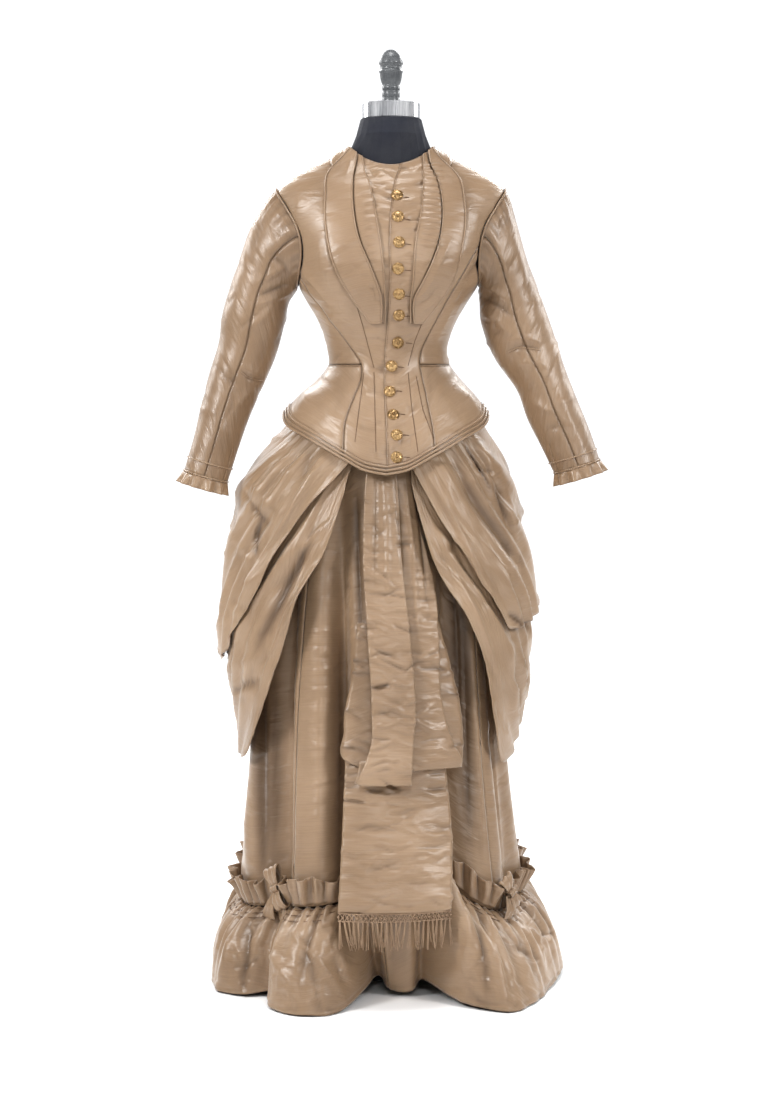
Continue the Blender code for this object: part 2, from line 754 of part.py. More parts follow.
def side_drape(side, upper):
    """One tier of a side drape, from under the basque to its swept lower edge."""
    table = TIERS[side]
    start, end = table[0].angle, table[-1].angle

    def surface(u, v, out=0.0):
        angle = between(start, end, u)
        cover = read(table, "upper", angle)
        foot = cover if upper else read(table, "lower", angle)
        top = DRAPE[-1].height
        height = between(foot, top, v)
        low = 1 - ease(height, 0.80, 0.925)
        wave = tier_wave(angle, height)
        if upper:
            fold = UPPER_FOLD * (1 - 0.8 * ease(angle, *TUCKED)) * wave
            stand = between(UPPER_SEAT, UPPER_LIFT + fold, low)
        else:
            deep = between(LOWER_FLAT, LOWER_FOLD, ease(height, cover, cover - 0.05))
            stand = deep * low * wave
        return drape(side * angle, height, out + stand)

    return surface


def back_drape(u, v, out=0.0):
    """The drape over the bustle, caught up across it in two puffs."""
    angle = between(BACK_DRAPE_ANGLE, 360 - BACK_DRAPE_ANGLE, u)
    sag = 0.05 * np.cos(np.radians(angle - 180) * 1.8)
    height = between(BACK_DRAPE_BOTTOM - sag, BACK_DRAPE_TOP, v)
    low = 1 - ease(height, 0.76, 0.885)
    puff = BACK_DRAPE_PUFF * np.abs(np.sin(2 * math.pi * v ** 0.85)) ** 0.8
    stand = 0.0062 + low * (BACK_DRAPE_LIFT - 0.0062 + puff)
    return drape(angle, height, out + stand)


def sash(table):
    """A strip that follows its path down the front of the skirt, the wall growing off the path."""

    def surface(u, along, out=0.0):
        left = read(table, "left", along)
        x = between(left, read(table, "right", along), u)
        step = 0.004
        low, high = np.clip(along - step, 0, 1), np.clip(along + step, 0, 1)
        rise = read(table, "height", high) - read(table, "height", low)
        lean = read(table, "stand", high) - read(table, "stand", low)
        length = np.hypot(rise, lean)
        height = read(table, "height", along) + out * lean / length
        stand = read(table, "stand", along) - out * rise / length
        across = (x - read(SKIRT, "shift", height)) / read(SKIRT, "half", height)
        y = -read(SKIRT, "front", height) * np.sqrt(1 - across**2) - stand
        return np.stack([x, y, height], axis=-1)

    return surface


def material(name, finish):
    colour, roughness, metallic = finish
    made = bpy.data.materials.new(name)
    made.use_nodes = True
    shader = made.node_tree.nodes["Principled BSDF"]
    shader.inputs["Base Color"].default_value = (*colour, 1.0)
    shader.inputs["Roughness"].default_value = roughness
    shader.inputs["Metallic"].default_value = metallic
    made.diffuse_color = (*colour, 1.0)
    return made


def place_mesh(bm, name, finish, smooth_angle=50):
    """Makes the bmesh a named object of its own, in its own material."""
    mesh = bpy.data.meshes.new(name)
    bm.to_mesh(mesh)
    bm.free()
    mesh.shade_smooth()
    mesh.set_sharp_from_angle(angle=math.radians(smooth_angle))
    mesh.materials.append(material(name, finish))
    obj = bpy.data.objects.new(name, mesh)
    dress.objects.link(obj)
    return obj


def grid(surface, across, along):
    """An open grid of the surface's points, facing the way that the surface moves out."""
    u, v = np.meshgrid(np.asarray(across, float), np.asarray(along, float))
    points = surface(u, v)
    outward = surface(u, v, 0.002) - points
    bm = bmesh.new()
    verts = [[bm.verts.new(point) for point in row] for row in points]
    faces = [
        bm.faces.new((low[i], low[i + 1], high[i + 1], high[i]))
        for low, high in zip(verts, verts[1:])
        for i in range(len(low) - 1)
    ]
    bm.normal_update()
    steps = outward[:-1, :-1].reshape(-1, 3)
    agree = sum(face.normal.dot(step) for face, step in zip(faces, steps))
    if agree < 0:
        bmesh.ops.reverse_faces(bm, faces=faces)
    return bm


def cloth(name, surface, across, along, finish=SILK, ring=False):
    """A cloth piece: its surface, with the wall grown outwards."""
    bm = grid(surface, across, along)
    if ring:
        bmesh.ops.remove_doubles(bm, verts=bm.verts, dist=1e-6)
    obj = place_mesh(bm, name, finish)
    solidify = obj.modifiers.new("Wall", "SOLIDIFY")
    solidify.thickness = WALL
    solidify.offset = 1
    return obj


def even(count):
    return np.linspace(0, 1, count + 1)


def bodice_pieces(side, mark):
    rows = WAIST_ROWS + len(LEVELS) - 1
    cloth(f"front_{mark}", front(side), even(8), np.arange(rows + 1))
    cloth(f"back_{mark}", back(side), even(6), np.arange(len(LEVELS)))
    cloth(f"side_front_{mark}", side_panel(1, side), even(4), side_rows(1, side))
    cloth(f"side_back_{mark}", side_panel(-1, side), even(5), side_rows(-1, side))
    cloth(f"basque_side_{mark}", basque(1, side), even(8), even(WAIST_ROWS))
    cloth(f"basque_back_{mark}", basque(-1, side), even(7), even(WAIST_ROWS))
    rows = len(LEVELS) - REVERS_START
    for name, inside, columns in (("outer", False, 3), ("inner", True, 2)):
        made = revers(side, inside)
        cloth(f"revers_{name}_{mark}", made, even(columns), np.arange(rows), SILK_EDGE)


def sleeve_pieces(side, mark):
    gap = SLEEVE_SEAM
    cloth(f"sleeve_upper_{mark}", sleeve(side, -90 + gap, 90 - gap), even(7), even(11))
    cloth(f"sleeve_under_{mark}", sleeve(side, 90 + gap, 270 - gap), even(7), even(11))
    frill = even(3 * FRILL_WAVES)
    cloth(f"cuff_frill_{mark}", cuff_frill(side), frill, even(1), SILK_EDGE, ring=True)


def skirt_pieces():
    for name, start, end in (
        ("underskirt_front", -37, 50),
        ("underskirt_side_R", -128, -37),
        ("underskirt_side_L", 50, 128),
        ("underskirt_back", 128, 232),
    ):
        start, end = start + SKIRT_GAP, end - SKIRT_GAP
        cloth(name, underskirt(start, end), fold_columns(start, end), even(5))
    for name, start, end in (
        ("flounce_R", -128, -1),
        ("flounce_L", -1, 128),
        ("flounce_back", 128, 232),
    ):
        across = even(round((end - start) * 3 * GATHERS / 360))
        cloth(name, flounce(start + SKIRT_GAP, end - SKIRT_GAP), across, FLOUNCE_ROWS)
    for name, start, end in (("ruffle_R", -180, 0), ("ruffle_L", 0, 180)):
        across = even(2 * RUFFLE_WAVES)
        cloth(name, ruffle(start + 0.2, end - 0.2), across, even(1), SILK_EDGE)


def fold_columns(start, end):
    """Places across a breadth, from 0 to 1: at the folds' troughs and crests, and between."""
    middle = (start + end) / 2
    found = [start, end]
    for fold in FOLDS:
        at = middle + around(fold.top - middle)
        found += [at + step * fold.width for step in (-1.7, -1.0, -0.45, 0.45, 1.0, 1.7)]
    kept = [start]
    for at in sorted(found):
        if at - kept[-1] > COLUMN_STEP and end - at > COLUMN_STEP:
            kept.append(at)
    return (np.array(kept + [end]) - start) / (end - start)


def drape_pieces(side, mark):
    cloth(f"drape_lower_{mark}", side_drape(side, False), even(12), even(8))
    cloth(f"drape_upper_{mark}", side_drape(side, True), even(12), even(7), SILK_EDGE)


def sash_pieces():
    for name, table, columns, finish in (
        ("sash_loop_front", FRONT_LOOP, 3, SILK),
        ("sash_loop_back", BACK_LOOP, 4, SILK_EDGE),
        ("sash_tail", TAIL, 5, SILK),
    ):
        rows = [row.along for row in table]
        halves = [between(low, high, 0.5) for low, high in zip(rows, rows[1:])]
        cloth(name, sash(table), even(columns), sorted(rows + halves), finish)


def sash_fringe():
    """A knotted heading strip along the tail's foot, with the strands drawn out of its edge."""
    edges = 2 * FRINGE_STRANDS
    line = sash(TAIL)(np.linspace(0, 1, edges), np.ones(edges))
    bm = bmesh.new()
    drop = np.array([0.0, 0.0, SEAM * 2])
    rows = [
        [bm.verts.new(point - drop - np.array([0, 0, FRINGE_BAND * k])) for point in line]
        for k in (1, 0)
    ]
    depth = np.array([0.0, -0.0022, 0.0])
    fronts = [[bm.verts.new(np.array(vert.co) + depth) for vert in row] for row in rows]
    strands = []
    for i in range(edges - 1):
        bm.faces.new((rows[0][i], rows[0][i + 1], rows[1][i + 1], rows[1][i])).normal_flip()
        bm.faces.new((fronts[0][i], fronts[0][i + 1], fronts[1][i + 1], fronts[1][i]))
        bm.faces.new((rows[1][i], rows[1][i + 1], fronts[1][i + 1], fronts[1][i]))
        bottom = bm.faces.new((rows[0][i], rows[0][i + 1], fronts[0][i + 1], fronts[0][i]))
        if i % 2 == 0:
            strands.append(bottom)
    for i in (0, -1):
        bm.faces.new((rows[0][i], rows[1][i], fronts[1][i], fronts[0][i]))
    bmesh.ops.recalc_face_normals(bm, faces=bm.faces)
    for k, share in ((1, 0.5), (2, 0.5)):
        drawn = bmesh.ops.extrude_discrete_faces(bm, faces=strands)["faces"]
        strands = drawn
        for n, face in enumerate(drawn):
            centre = face.calc_center_median()
            sway = 0.0035 * math.sin(2.3 * n + k) * k
            length = FRINGE_LENGTH * share * (1 + 0.10 * math.sin(1.7 * n))
            for vert in face.verts:
                vert.co = centre + (vert.co - centre) * 0.8
                vert.co.x += sway * 0.35
                vert.co.y -= 0.002 * k
                vert.co.z -= length
    bmesh.ops.recalc_face_normals(bm, faces=bm.faces)
    place_mesh(bm, "sash_fringe", SILK_EDGE)


def bow(place):
    """A bow on the heading: a knot with two loops, joined into one solid."""
    height = read(HEADING, "height", place.angle) + place.rise
    base = skirt(np.array([place.angle]), height, place.stand)[0]
    turn = math.radians(place.turn)
    lobes = []
    for offset, size in ((0.0, (0.009, 0.008, 0.011)), (-0.016, (0.015, 0.007, 0.010)),
                         (0.016, (0.015, 0.007, 0.010))):
        bm = bmesh.new()
        bmesh.ops.create_uvsphere(bm, u_segments=8, v_segments=6, radius=1.0)
        for vert in bm.verts:
            vert.co = [vert.co[k] * size[k] for k in range(3)]
            vert.co.x += offset
        lobes.append(place_mesh(bm, place.name if offset == 0.0 else "bow_lobe", SILK_EDGE))
    knot, *loops = lobes
    for loop in loops:
        dress.objects.unlink(loop)
        cutters.objects.link(loop)
        loop.display_type = "WIRE"
        loop.hide_render = True
        join = knot.modifiers.new("Join", "BOOLEAN")
        join.operation = "UNION"
        join.object = loop
    for lobe in lobes:
        lobe.location = base
        lobe.rotation_euler = (0.0, turn, math.radians(place.angle))


def turned(name, profile, steps, finish):
    """A turned solid about its own Z axis, from a profile that runs down its outer side."""
    bm = bmesh.new()
    verts = [bm.verts.new((radius, 0.0, height)) for radius, height in profile]
    for above, below in zip(verts, verts[1:]):
        bm.edges.new((above, below))
    obj = place_mesh(bm, name, finish)
    screw = obj.modifiers.new("Turn", "SCREW")
    screw.axis = "Z"
    screw.steps = screw.render_steps = steps
    screw.use_merge_vertices = True
    screw.merge_threshold = 0.00001
    return obj


def seat(cover, x, height, radius):
    """Where a flat round base rests on the front of this piece: its place and the way it faces."""

    def depth(across, up):
        found, place, _, _ = cover.ray_cast((x + across, -1.0, height + up), (0.0, 1.0, 0.0))
        return place.y if found else None

    reach = 0.6 * radius
    across = (depth(reach, 0) - depth(-reach, 0)) / (2 * reach)
    up = (depth(0, reach) - depth(0, -reach)) / (2 * reach)
    middle = depth(0, 0)
    stand = 0.0
    for turn in np.radians(np.arange(0, 360, 30)):
        spot = (radius * math.cos(turn), radius * math.sin(turn))
        there = depth(*spot)
        if there is not None:
            stand = min(stand, there - middle - across * spot[0] - up * spot[1])
    facing = Vector((across, -1.0, up)).normalized()
    return Vector((x, middle + stand, height)), facing


def buttons():
    radius, depth = BUTTON_RADIUS, BUTTON_DEPTH
    profile = ((0, depth), (0.6 * radius, 0.82 * depth), (radius, 0.3 * depth), (radius, 0), (0, 0))
    bpy.context.view_layer.update()
    cover = dress.objects["front_L"].evaluated_get(bpy.context.evaluated_depsgraph_get())
    for number, spot in enumerate(BUTTONS, 1):
        button = turned(f"button_{number:02d}", profile, 8, GILT)
        place, facing = seat(cover, spot.across, spot.height, radius)
        button.location = place + BUTTON_GAP * facing
        button.rotation_euler = facing.to_track_quat("Z", "Y").to_euler()


def dress_form():
    """The limbless form inside the dress: solid, smooth, and just clear of the cloth."""
    angles = np.linspace(-180, 180, 25)[:-1]
    rings = []
    for row in FORM[:-1]:
        x, y = on_section(FORM, angles, row.height, 0.0)
        rings.append(np.stack([x, y, np.full_like(x, row.height)], axis=-1))
    for height in LEVELS:
        clear = 0.0019 + 0.0045 * (1 - ease(height, 1.16, 1.25))
        corner = 0.0045 * bump((height - SHOULDER_HEIGHT) / 0.022) * np.sin(np.radians(angles)) ** 4
        rings.append(body(angles, height, -clear - corner))
    turn = np.radians(angles)
    for radius, height in ((NECK_ROOT_RADIUS, 1.349), (NECK_RADIUS, NECK_TOP)):
        ring = [radius * np.sin(turn), -radius * np.cos(turn), np.full_like(turn, height)]
        rings.append(np.stack(ring, axis=-1))
    bm = bmesh.new()
    verts = [[bm.verts.new(point) for point in ring] for ring in rings]
    for low, high in zip(verts, verts[1:]):
        for i in range(len(low)):
            j = (i + 1) % len(low)
            bm.faces.new((low[i], low[j], high[j], high[i]))
    bm.faces.new(verts[0])
    bm.faces.new(verts[-1])
    bmesh.ops.recalc_face_normals(bm, faces=bm.faces)
    place_mesh(bm, "form_torso", FORM_CLOTH)


def stand_pieces():
    band_top = NECK_TOP + SEAM + BAND_HEIGHT
    edge = 0.0015
    band = turned(
        "neck_band",
        ((0, BAND_HEIGHT), (BAND_RADIUS - edge, BAND_HEIGHT), (BAND_RADIUS, BAND_HEIGHT - edge),
         (BAND_RADIUS, edge), (BAND_RADIUS - edge, 0), (0, 0)),
        28, CHROME)
    band.location.z = NECK_TOP + SEAM
    finial = turned("finial", FINIAL_PROFILE, 14, GREY_KNOB)
    finial.location.z = band_top + SEAM
    pole_foot = BASE_HEIGHT + SEAM
    pole_top = FORM_BOTTOM - SEAM
    pole = turned(
        "stand_pole",
        ((0, pole_top), (POLE_RADIUS, pole_top), (POLE_RADIUS, pole_foot), (0, pole_foot)),
        16, STAND_BLACK)
    pole.location.y = POLE_BACK
    base = turned(
        "stand_base",
        ((0, BASE_HEIGHT), (BASE_RADIUS - 0.004, BASE_HEIGHT), (BASE_RADIUS, BASE_HEIGHT - 0.004),
         (BASE_RADIUS, 0), (0, 0)),
        28, STAND_BLACK)
    base.location.y = POLE_BACK


for old in list(bpy.data.objects):
    bpy.data.objects.remove(old, do_unlink=True)
dress = bpy.data.collections.new("bustle_dress")
cutters = bpy.data.collections.new("cutters")
cutters.hide_render = True
for collection in (dress, cutters):
    bpy.context.scene.collection.children.link(collection)

dress_form()
stand_pieces()
for side, mark in ((-1, "R"), (1, "L")):
    bodice_pieces(side, mark)
    sleeve_pieces(side, mark)
    drape_pieces(side, mark)
cloth("collar", collar, even(16), np.arange(len(COLLAR_LEVELS)), SILK_EDGE)
buttons()
skirt_pieces()
cloth("drape_back", back_drape, even(12), even(10))
sash_pieces()
sash_fringe()
for place in BOWS:
    bow(place)
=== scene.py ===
# Bustle dress of brown silk faille on a limbless dress form.
# Metres, +Z up, the front towards -Y. Angles are degrees round the figure from the centre front.
import math
from collections import namedtuple

import bpy
import numpy as np
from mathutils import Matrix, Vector


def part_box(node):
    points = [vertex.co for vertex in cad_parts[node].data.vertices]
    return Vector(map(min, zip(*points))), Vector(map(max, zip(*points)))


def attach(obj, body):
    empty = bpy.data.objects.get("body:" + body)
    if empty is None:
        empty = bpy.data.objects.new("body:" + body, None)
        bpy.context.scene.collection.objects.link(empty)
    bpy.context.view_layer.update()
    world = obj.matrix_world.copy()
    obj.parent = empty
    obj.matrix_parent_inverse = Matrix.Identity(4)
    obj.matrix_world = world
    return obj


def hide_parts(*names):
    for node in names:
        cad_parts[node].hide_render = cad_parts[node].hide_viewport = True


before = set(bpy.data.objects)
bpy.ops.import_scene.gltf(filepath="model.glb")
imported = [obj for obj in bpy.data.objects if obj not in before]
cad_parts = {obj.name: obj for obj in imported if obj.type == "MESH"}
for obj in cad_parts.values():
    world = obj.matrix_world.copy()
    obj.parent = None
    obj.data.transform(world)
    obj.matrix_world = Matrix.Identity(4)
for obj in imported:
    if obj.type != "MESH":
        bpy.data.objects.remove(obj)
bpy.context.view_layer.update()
print("frame loaded:", len(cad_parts), "nodes")


# The camera stands where the photograph was taken, and creases are placed in its picture
camera = {
    "place": (0.0, -3.8, 0.95), "pitch": 3.98, "focal": 2356.0,
    "middle": (391.0, 550.0), "picture": (774, 1100),
}


def inPicture(points):
    lean = math.radians(camera["pitch"])
    away = points - np.array(camera["place"])
    depth = away[..., 1] * math.cos(lean) - away[..., 2] * math.sin(lean)
    rise = away[..., 1] * math.sin(lean) + away[..., 2] * math.cos(lean)
    across = camera["middle"][0] + camera["focal"] * away[..., 0] / depth
    return across, camera["middle"][1] - camera["focal"] * rise / depth


# The same units round the sides and back, where the picture sees nothing
chart = {"perRadian": 124, "floor": 975, "perMetre": 620, "wholeTurn": 779.1}


def unrolled(points):
    turn = np.arctan2(points[..., 0], -points[..., 1])
    across = camera["middle"][0] + chart["perRadian"] * turn
    return across, chart["floor"] - chart["perMetre"] * points[..., 2]


def addNode(tree, kind, values=(), **settings):
    made = tree.nodes.new(kind)
    for name, value in settings.items():
        setattr(made, name, value)
    for socket, value in dict(values).items():
        made.inputs[socket].default_value = value
    return made


def newMaterial(name):
    made = bpy.data.materials.new(name)
    made.use_nodes = True
    return made, made.node_tree, made.node_tree.nodes["Principled BSDF"]


# Ribbed silk: clouded colour, slubs along the weft, crumpled bump; darkened by a per-point attribute that
# holds real wear along seams and painted shade in creases and along the revers edges
def makeSilk(name, light, dark, worn, gloss=0.35, rib=0.34, crumple=0.50):
    made, tree, shader = newMaterial(name)
    link = tree.links.new
    cloth = addNode(tree, "ShaderNodeUVMap", uv_map="Cloth")
    place = addNode(tree, "ShaderNodeTexCoord")
    weft = addNode(tree, "ShaderNodeMapping", {"Scale": (14, 620, 1)})
    warp = addNode(tree, "ShaderNodeMapping", {"Scale": (900, 30, 1)})
    crush = addNode(tree, "ShaderNodeMapping", {"Scale": (16, 46, 1)})
    for mapping in (weft, warp, crush):
        link(cloth.outputs["UV"], mapping.inputs["Vector"])
    slub = addNode(tree, "ShaderNodeTexNoise", {"Scale": 1.0, "Detail": 5.0, "Roughness": 0.62})
    thread = addNode(tree, "ShaderNodeTexNoise", {"Scale": 1.0, "Detail": 2.0, "Roughness": 0.5})
    cloud = addNode(tree, "ShaderNodeTexNoise", {"Scale": 5.5, "Detail": 5.0, "Roughness": 0.55})
    fold = addNode(tree, "ShaderNodeTexNoise", {"Scale": 1.0, "Detail": 3.0, "Roughness": 0.45,
                                               "Distortion": 0.5})
    link(weft.outputs["Vector"], slub.inputs["Vector"])
    link(warp.outputs["Vector"], thread.inputs["Vector"])
    link(place.outputs["Object"], cloud.inputs["Vector"])
    link(crush.outputs["Vector"], fold.inputs["Vector"])
    tone = addNode(tree, "ShaderNodeValToRGB")
    tone.color_ramp.elements[0].position = 0.34
    tone.color_ramp.elements[0].color = (*dark, 1)
    tone.color_ramp.elements[1].position = 0.66
    tone.color_ramp.elements[1].color = (*light, 1)
    mixed = addNode(tree, "ShaderNodeMix", {"Factor": 0.30}, data_type="FLOAT")
    link(cloud.outputs["Fac"], mixed.inputs["A"])
    link(slub.outputs["Fac"], mixed.inputs["B"])
    link(mixed.outputs["Result"], tone.inputs["Fac"])
    # Painted shade and wear: the attribute mixes in the darkest colour, for wear at the seams and for shade
    # in the creases and at the revers edges
    edge = addNode(tree, "ShaderNodeAttribute", attribute_name="worn")
    shadeAndWearMix = addNode(tree, "ShaderNodeMix", data_type="RGBA", blend_type="MIX")
    shadeAndWearMix.inputs["B"].default_value = (*worn, 1)
    link(edge.outputs["Fac"], shadeAndWearMix.inputs["Factor"])
    link(tone.outputs["Color"], shadeAndWearMix.inputs["A"])
    link(shadeAndWearMix.outputs["Result"], shader.inputs["Base Color"])
    matt = addNode(tree, "ShaderNodeMapRange", {"From Min": 0.3, "From Max": 0.7,
                                                "To Min": gloss - 0.05, "To Max": gloss + 0.09})
    link(slub.outputs["Fac"], matt.inputs["Value"])
    link(matt.outputs["Result"], shader.inputs["Roughness"])
    weave = addNode(tree, "ShaderNodeMix", {"Factor": 0.25}, data_type="FLOAT")
    link(slub.outputs["Fac"], weave.inputs["A"])
    link(thread.outputs["Fac"], weave.inputs["B"])
    ribbed = addNode(tree, "ShaderNodeBump", {"Strength": rib, "Distance": 0.0006})
    link(weave.outputs["Result"], ribbed.inputs["Height"])
    crumpled = addNode(tree, "ShaderNodeBump", {"Strength": crumple, "Distance": 0.006})
    link(fold.outputs["Fac"], crumpled.inputs["Height"])
    link(ribbed.outputs["Normal"], crumpled.inputs["Normal"])
    link(crumpled.outputs["Normal"], shader.inputs["Normal"])
    shader.inputs["Sheen Weight"].default_value = 0.22
    shader.inputs["Sheen Roughness"].default_value = 0.35
    shader.inputs["Specular IOR Level"].default_value = 0.55
    return made


# A hard or matt finish with mottling and fine grain, on object coordinates
def makeHard(name, light, dark, gloss, metallic=0.0, grain=300.0, bump=0.15, coat=0.0, squeeze=(1, 1, 1)):
    made, tree, shader = newMaterial(name)
    link = tree.links.new
    place = addNode(tree, "ShaderNodeTexCoord")
    stretch = addNode(tree, "ShaderNodeMapping", {"Scale": squeeze})
    link(place.outputs["Object"], stretch.inputs["Vector"])
    mottle = addNode(tree, "ShaderNodeTexNoise", {"Scale": 18.0, "Detail": 6.0, "Roughness": 0.6})
    fine = addNode(tree, "ShaderNodeTexNoise", {"Scale": grain, "Detail": 3.0, "Roughness": 0.6})
    link(stretch.outputs["Vector"], mottle.inputs["Vector"])
    link(stretch.outputs["Vector"], fine.inputs["Vector"])
    tone = addNode(tree, "ShaderNodeValToRGB")
    tone.color_ramp.elements[0].position = 0.35
    tone.color_ramp.elements[0].color = (*dark, 1)
    tone.color_ramp.elements[1].position = 0.65
    tone.color_ramp.elements[1].color = (*light, 1)
    both = addNode(tree, "ShaderNodeMix", {"Factor": 0.4}, data_type="FLOAT")
    link(mottle.outputs["Fac"], both.inputs["A"])
    link(fine.outputs["Fac"], both.inputs["B"])
    link(both.outputs["Result"], tone.inputs["Fac"])
    link(tone.outputs["Color"], shader.inputs["Base Color"])
    matt = addNode(tree, "ShaderNodeMapRange", {"From Min": 0.3, "From Max": 0.7,
                                                "To Min": gloss * 0.75, "To Max": gloss * 1.3})
    link(mottle.outputs["Fac"], matt.inputs["Value"])
    link(matt.outputs["Result"], shader.inputs["Roughness"])
    rough = addNode(tree, "ShaderNodeBump", {"Strength": bump, "Distance": 0.0008})
    link(fine.outputs["Fac"], rough.inputs["Height"])
    link(rough.outputs["Normal"], shader.inputs["Normal"])
    shader.inputs["Metallic"].default_value = metallic
    shader.inputs["Coat Weight"].default_value = coat
    return made


# The third colour of each silk is its darkest: for wear at the seams and for painted shade in the creases
silk = makeSilk("bodySilk", (0.335, 0.232, 0.150), (0.222, 0.146, 0.088), (0.050, 0.026, 0.012))
trimSilk = makeSilk("trimSilk", (0.315, 0.216, 0.138), (0.212, 0.138, 0.082), (0.045, 0.024, 0.011))
sleeveSilk = makeSilk("sleeveSilk", (0.280, 0.190, 0.120), (0.180, 0.116, 0.068), (0.040, 0.021, 0.010))
threadSilk = makeHard("sewingSilk", (0.16, 0.09, 0.05), (0.09, 0.05, 0.026), 0.7, grain=900)
fringeSilk = makeHard("fringeSilk", (0.36, 0.25, 0.165), (0.20, 0.13, 0.08), 0.6, grain=700, bump=0.4)
giltMetal = makeHard("giltFiligree", (0.60, 0.42, 0.22), (0.22, 0.13, 0.055), 0.34, metallic=0.85, grain=900)
formCloth = makeHard("formJersey", (0.026, 0.028, 0.038), (0.016, 0.017, 0.024), 0.85, grain=1500, bump=0.5)
# The chrome's base colour runs from dark to near white in vertical streaks: painted reflection stripes
chrome = makeHard("chromePlate", (0.95, 0.95, 0.96), (0.20, 0.21, 0.23), 0.10, metallic=0.55, bump=0.03,
                  squeeze=(3, 3, 0.1))
knobPaint = makeHard("turnedKnob", (0.125, 0.13, 0.135), (0.060, 0.063, 0.067), 0.42, coat=0.25,
                     bump=0.08, squeeze=(0.4, 0.4, 6))
standBlack = makeHard("standBlack", (0.028, 0.028, 0.030), (0.016, 0.016, 0.018), 0.45, bump=0.12)
print("materials made")


# A crease lies along its path: raised or sunk by so many millimetres, and steeper on its right
Crease = namedtuple("Crease", "path width deep sharp", defaults=(1.0,))


def creaseRelief(across, down, creases):
    total = np.zeros_like(across)
    for crease in creases:
        path = np.array(crease.path, float)
        reach = 3 * crease.width
        low, high = path.min(0) - reach, path.max(0) + reach
        near = (across > low[0]) & (across < high[0]) & (down > low[1]) & (down < high[1])
        if not near.any():
            continue
        spots = np.stack([across[near], down[near]], axis=-1)
        steps = np.hypot(*np.diff(path, axis=0).T)
        best = np.full(len(spots), 1e9)
        side = np.ones(len(spots))
        share = np.zeros(len(spots))
        for start, end, step, before in zip(path, path[1:], steps, np.cumsum(steps) - steps):
            line = (end - start) / step
            away = spots - start
            run = np.clip(away @ line, 0, step)
            off = away - run[:, None] * line
            far = np.hypot(off[:, 0], off[:, 1])
            closer = far < best
            best[closer] = far[closer]
            side[closer] = np.sign(line[0] * off[:, 1] - line[1] * off[:, 0])[closer]
            share[closer] = ((before + run) / steps.sum())[closer]
        wide = np.where(side < 0, crease.width, crease.width * crease.sharp)
        taper = np.sin(math.pi * np.clip(share, 0.02, 0.98)) ** 0.6
        total[near] += 0.001 * crease.deep * taper * np.exp(-(best / wide) ** 1.4)
    return total


# Small uneven creases scattered over part of the chart, the same each time for one seed
def scatter(seed, count, box, length, tilt, width, deep):
    chance = np.random.default_rng(seed)
    made = []
    for _ in range(count):
        x, y = chance.uniform(box[0], box[2]), chance.uniform(box[1], box[3])
        long = chance.uniform(0.5, 1.2) * length
        turn = math.radians(chance.normal(tilt[0], tilt[1]))
        bend = chance.uniform(-0.16, 0.16) * long
        dx, dy = long * math.cos(turn) / 2, long * math.sin(turn) / 2
        path = ((x - dx, y - dy), (x - bend * math.sin(turn), y + bend * math.cos(turn)), (x + dx, y + dy))
        height = deep * chance.uniform(0.5, 1.1) * chance.choice((-1, 1))
        made.append(Crease(path, width * chance.uniform(0.7, 1.3), height, chance.uniform(0.4, 1.0)))
    return made


def tableMesh(name, points, faces):
    mesh = bpy.data.meshes.new(name)
    mesh.from_pydata(points.tolist(), [], faces.tolist())
    made = bpy.data.objects.new(name, mesh)
    bpy.context.scene.collection.objects.link(made)
    return made


# Spreads a surface as a fine grid, with its outward direction at each point
def spread(surface, across, along):
    u, v = np.meshgrid(across, along)
    points = surface(u, v)
    outward = surface(u, v, 0.002) - points
    normal = np.cross(np.gradient(points, axis=1), np.gradient(points, axis=0))
    size = np.linalg.norm(normal, axis=-1, keepdims=True)
    if (normal * outward).sum() < 0:
        normal = -normal
    plain = outward / np.maximum(np.linalg.norm(outward, axis=-1, keepdims=True), 1e-9)
    normal = np.where(size > 1e-12, normal / np.maximum(size, 1e-12), plain)
    return u, v, points, normal


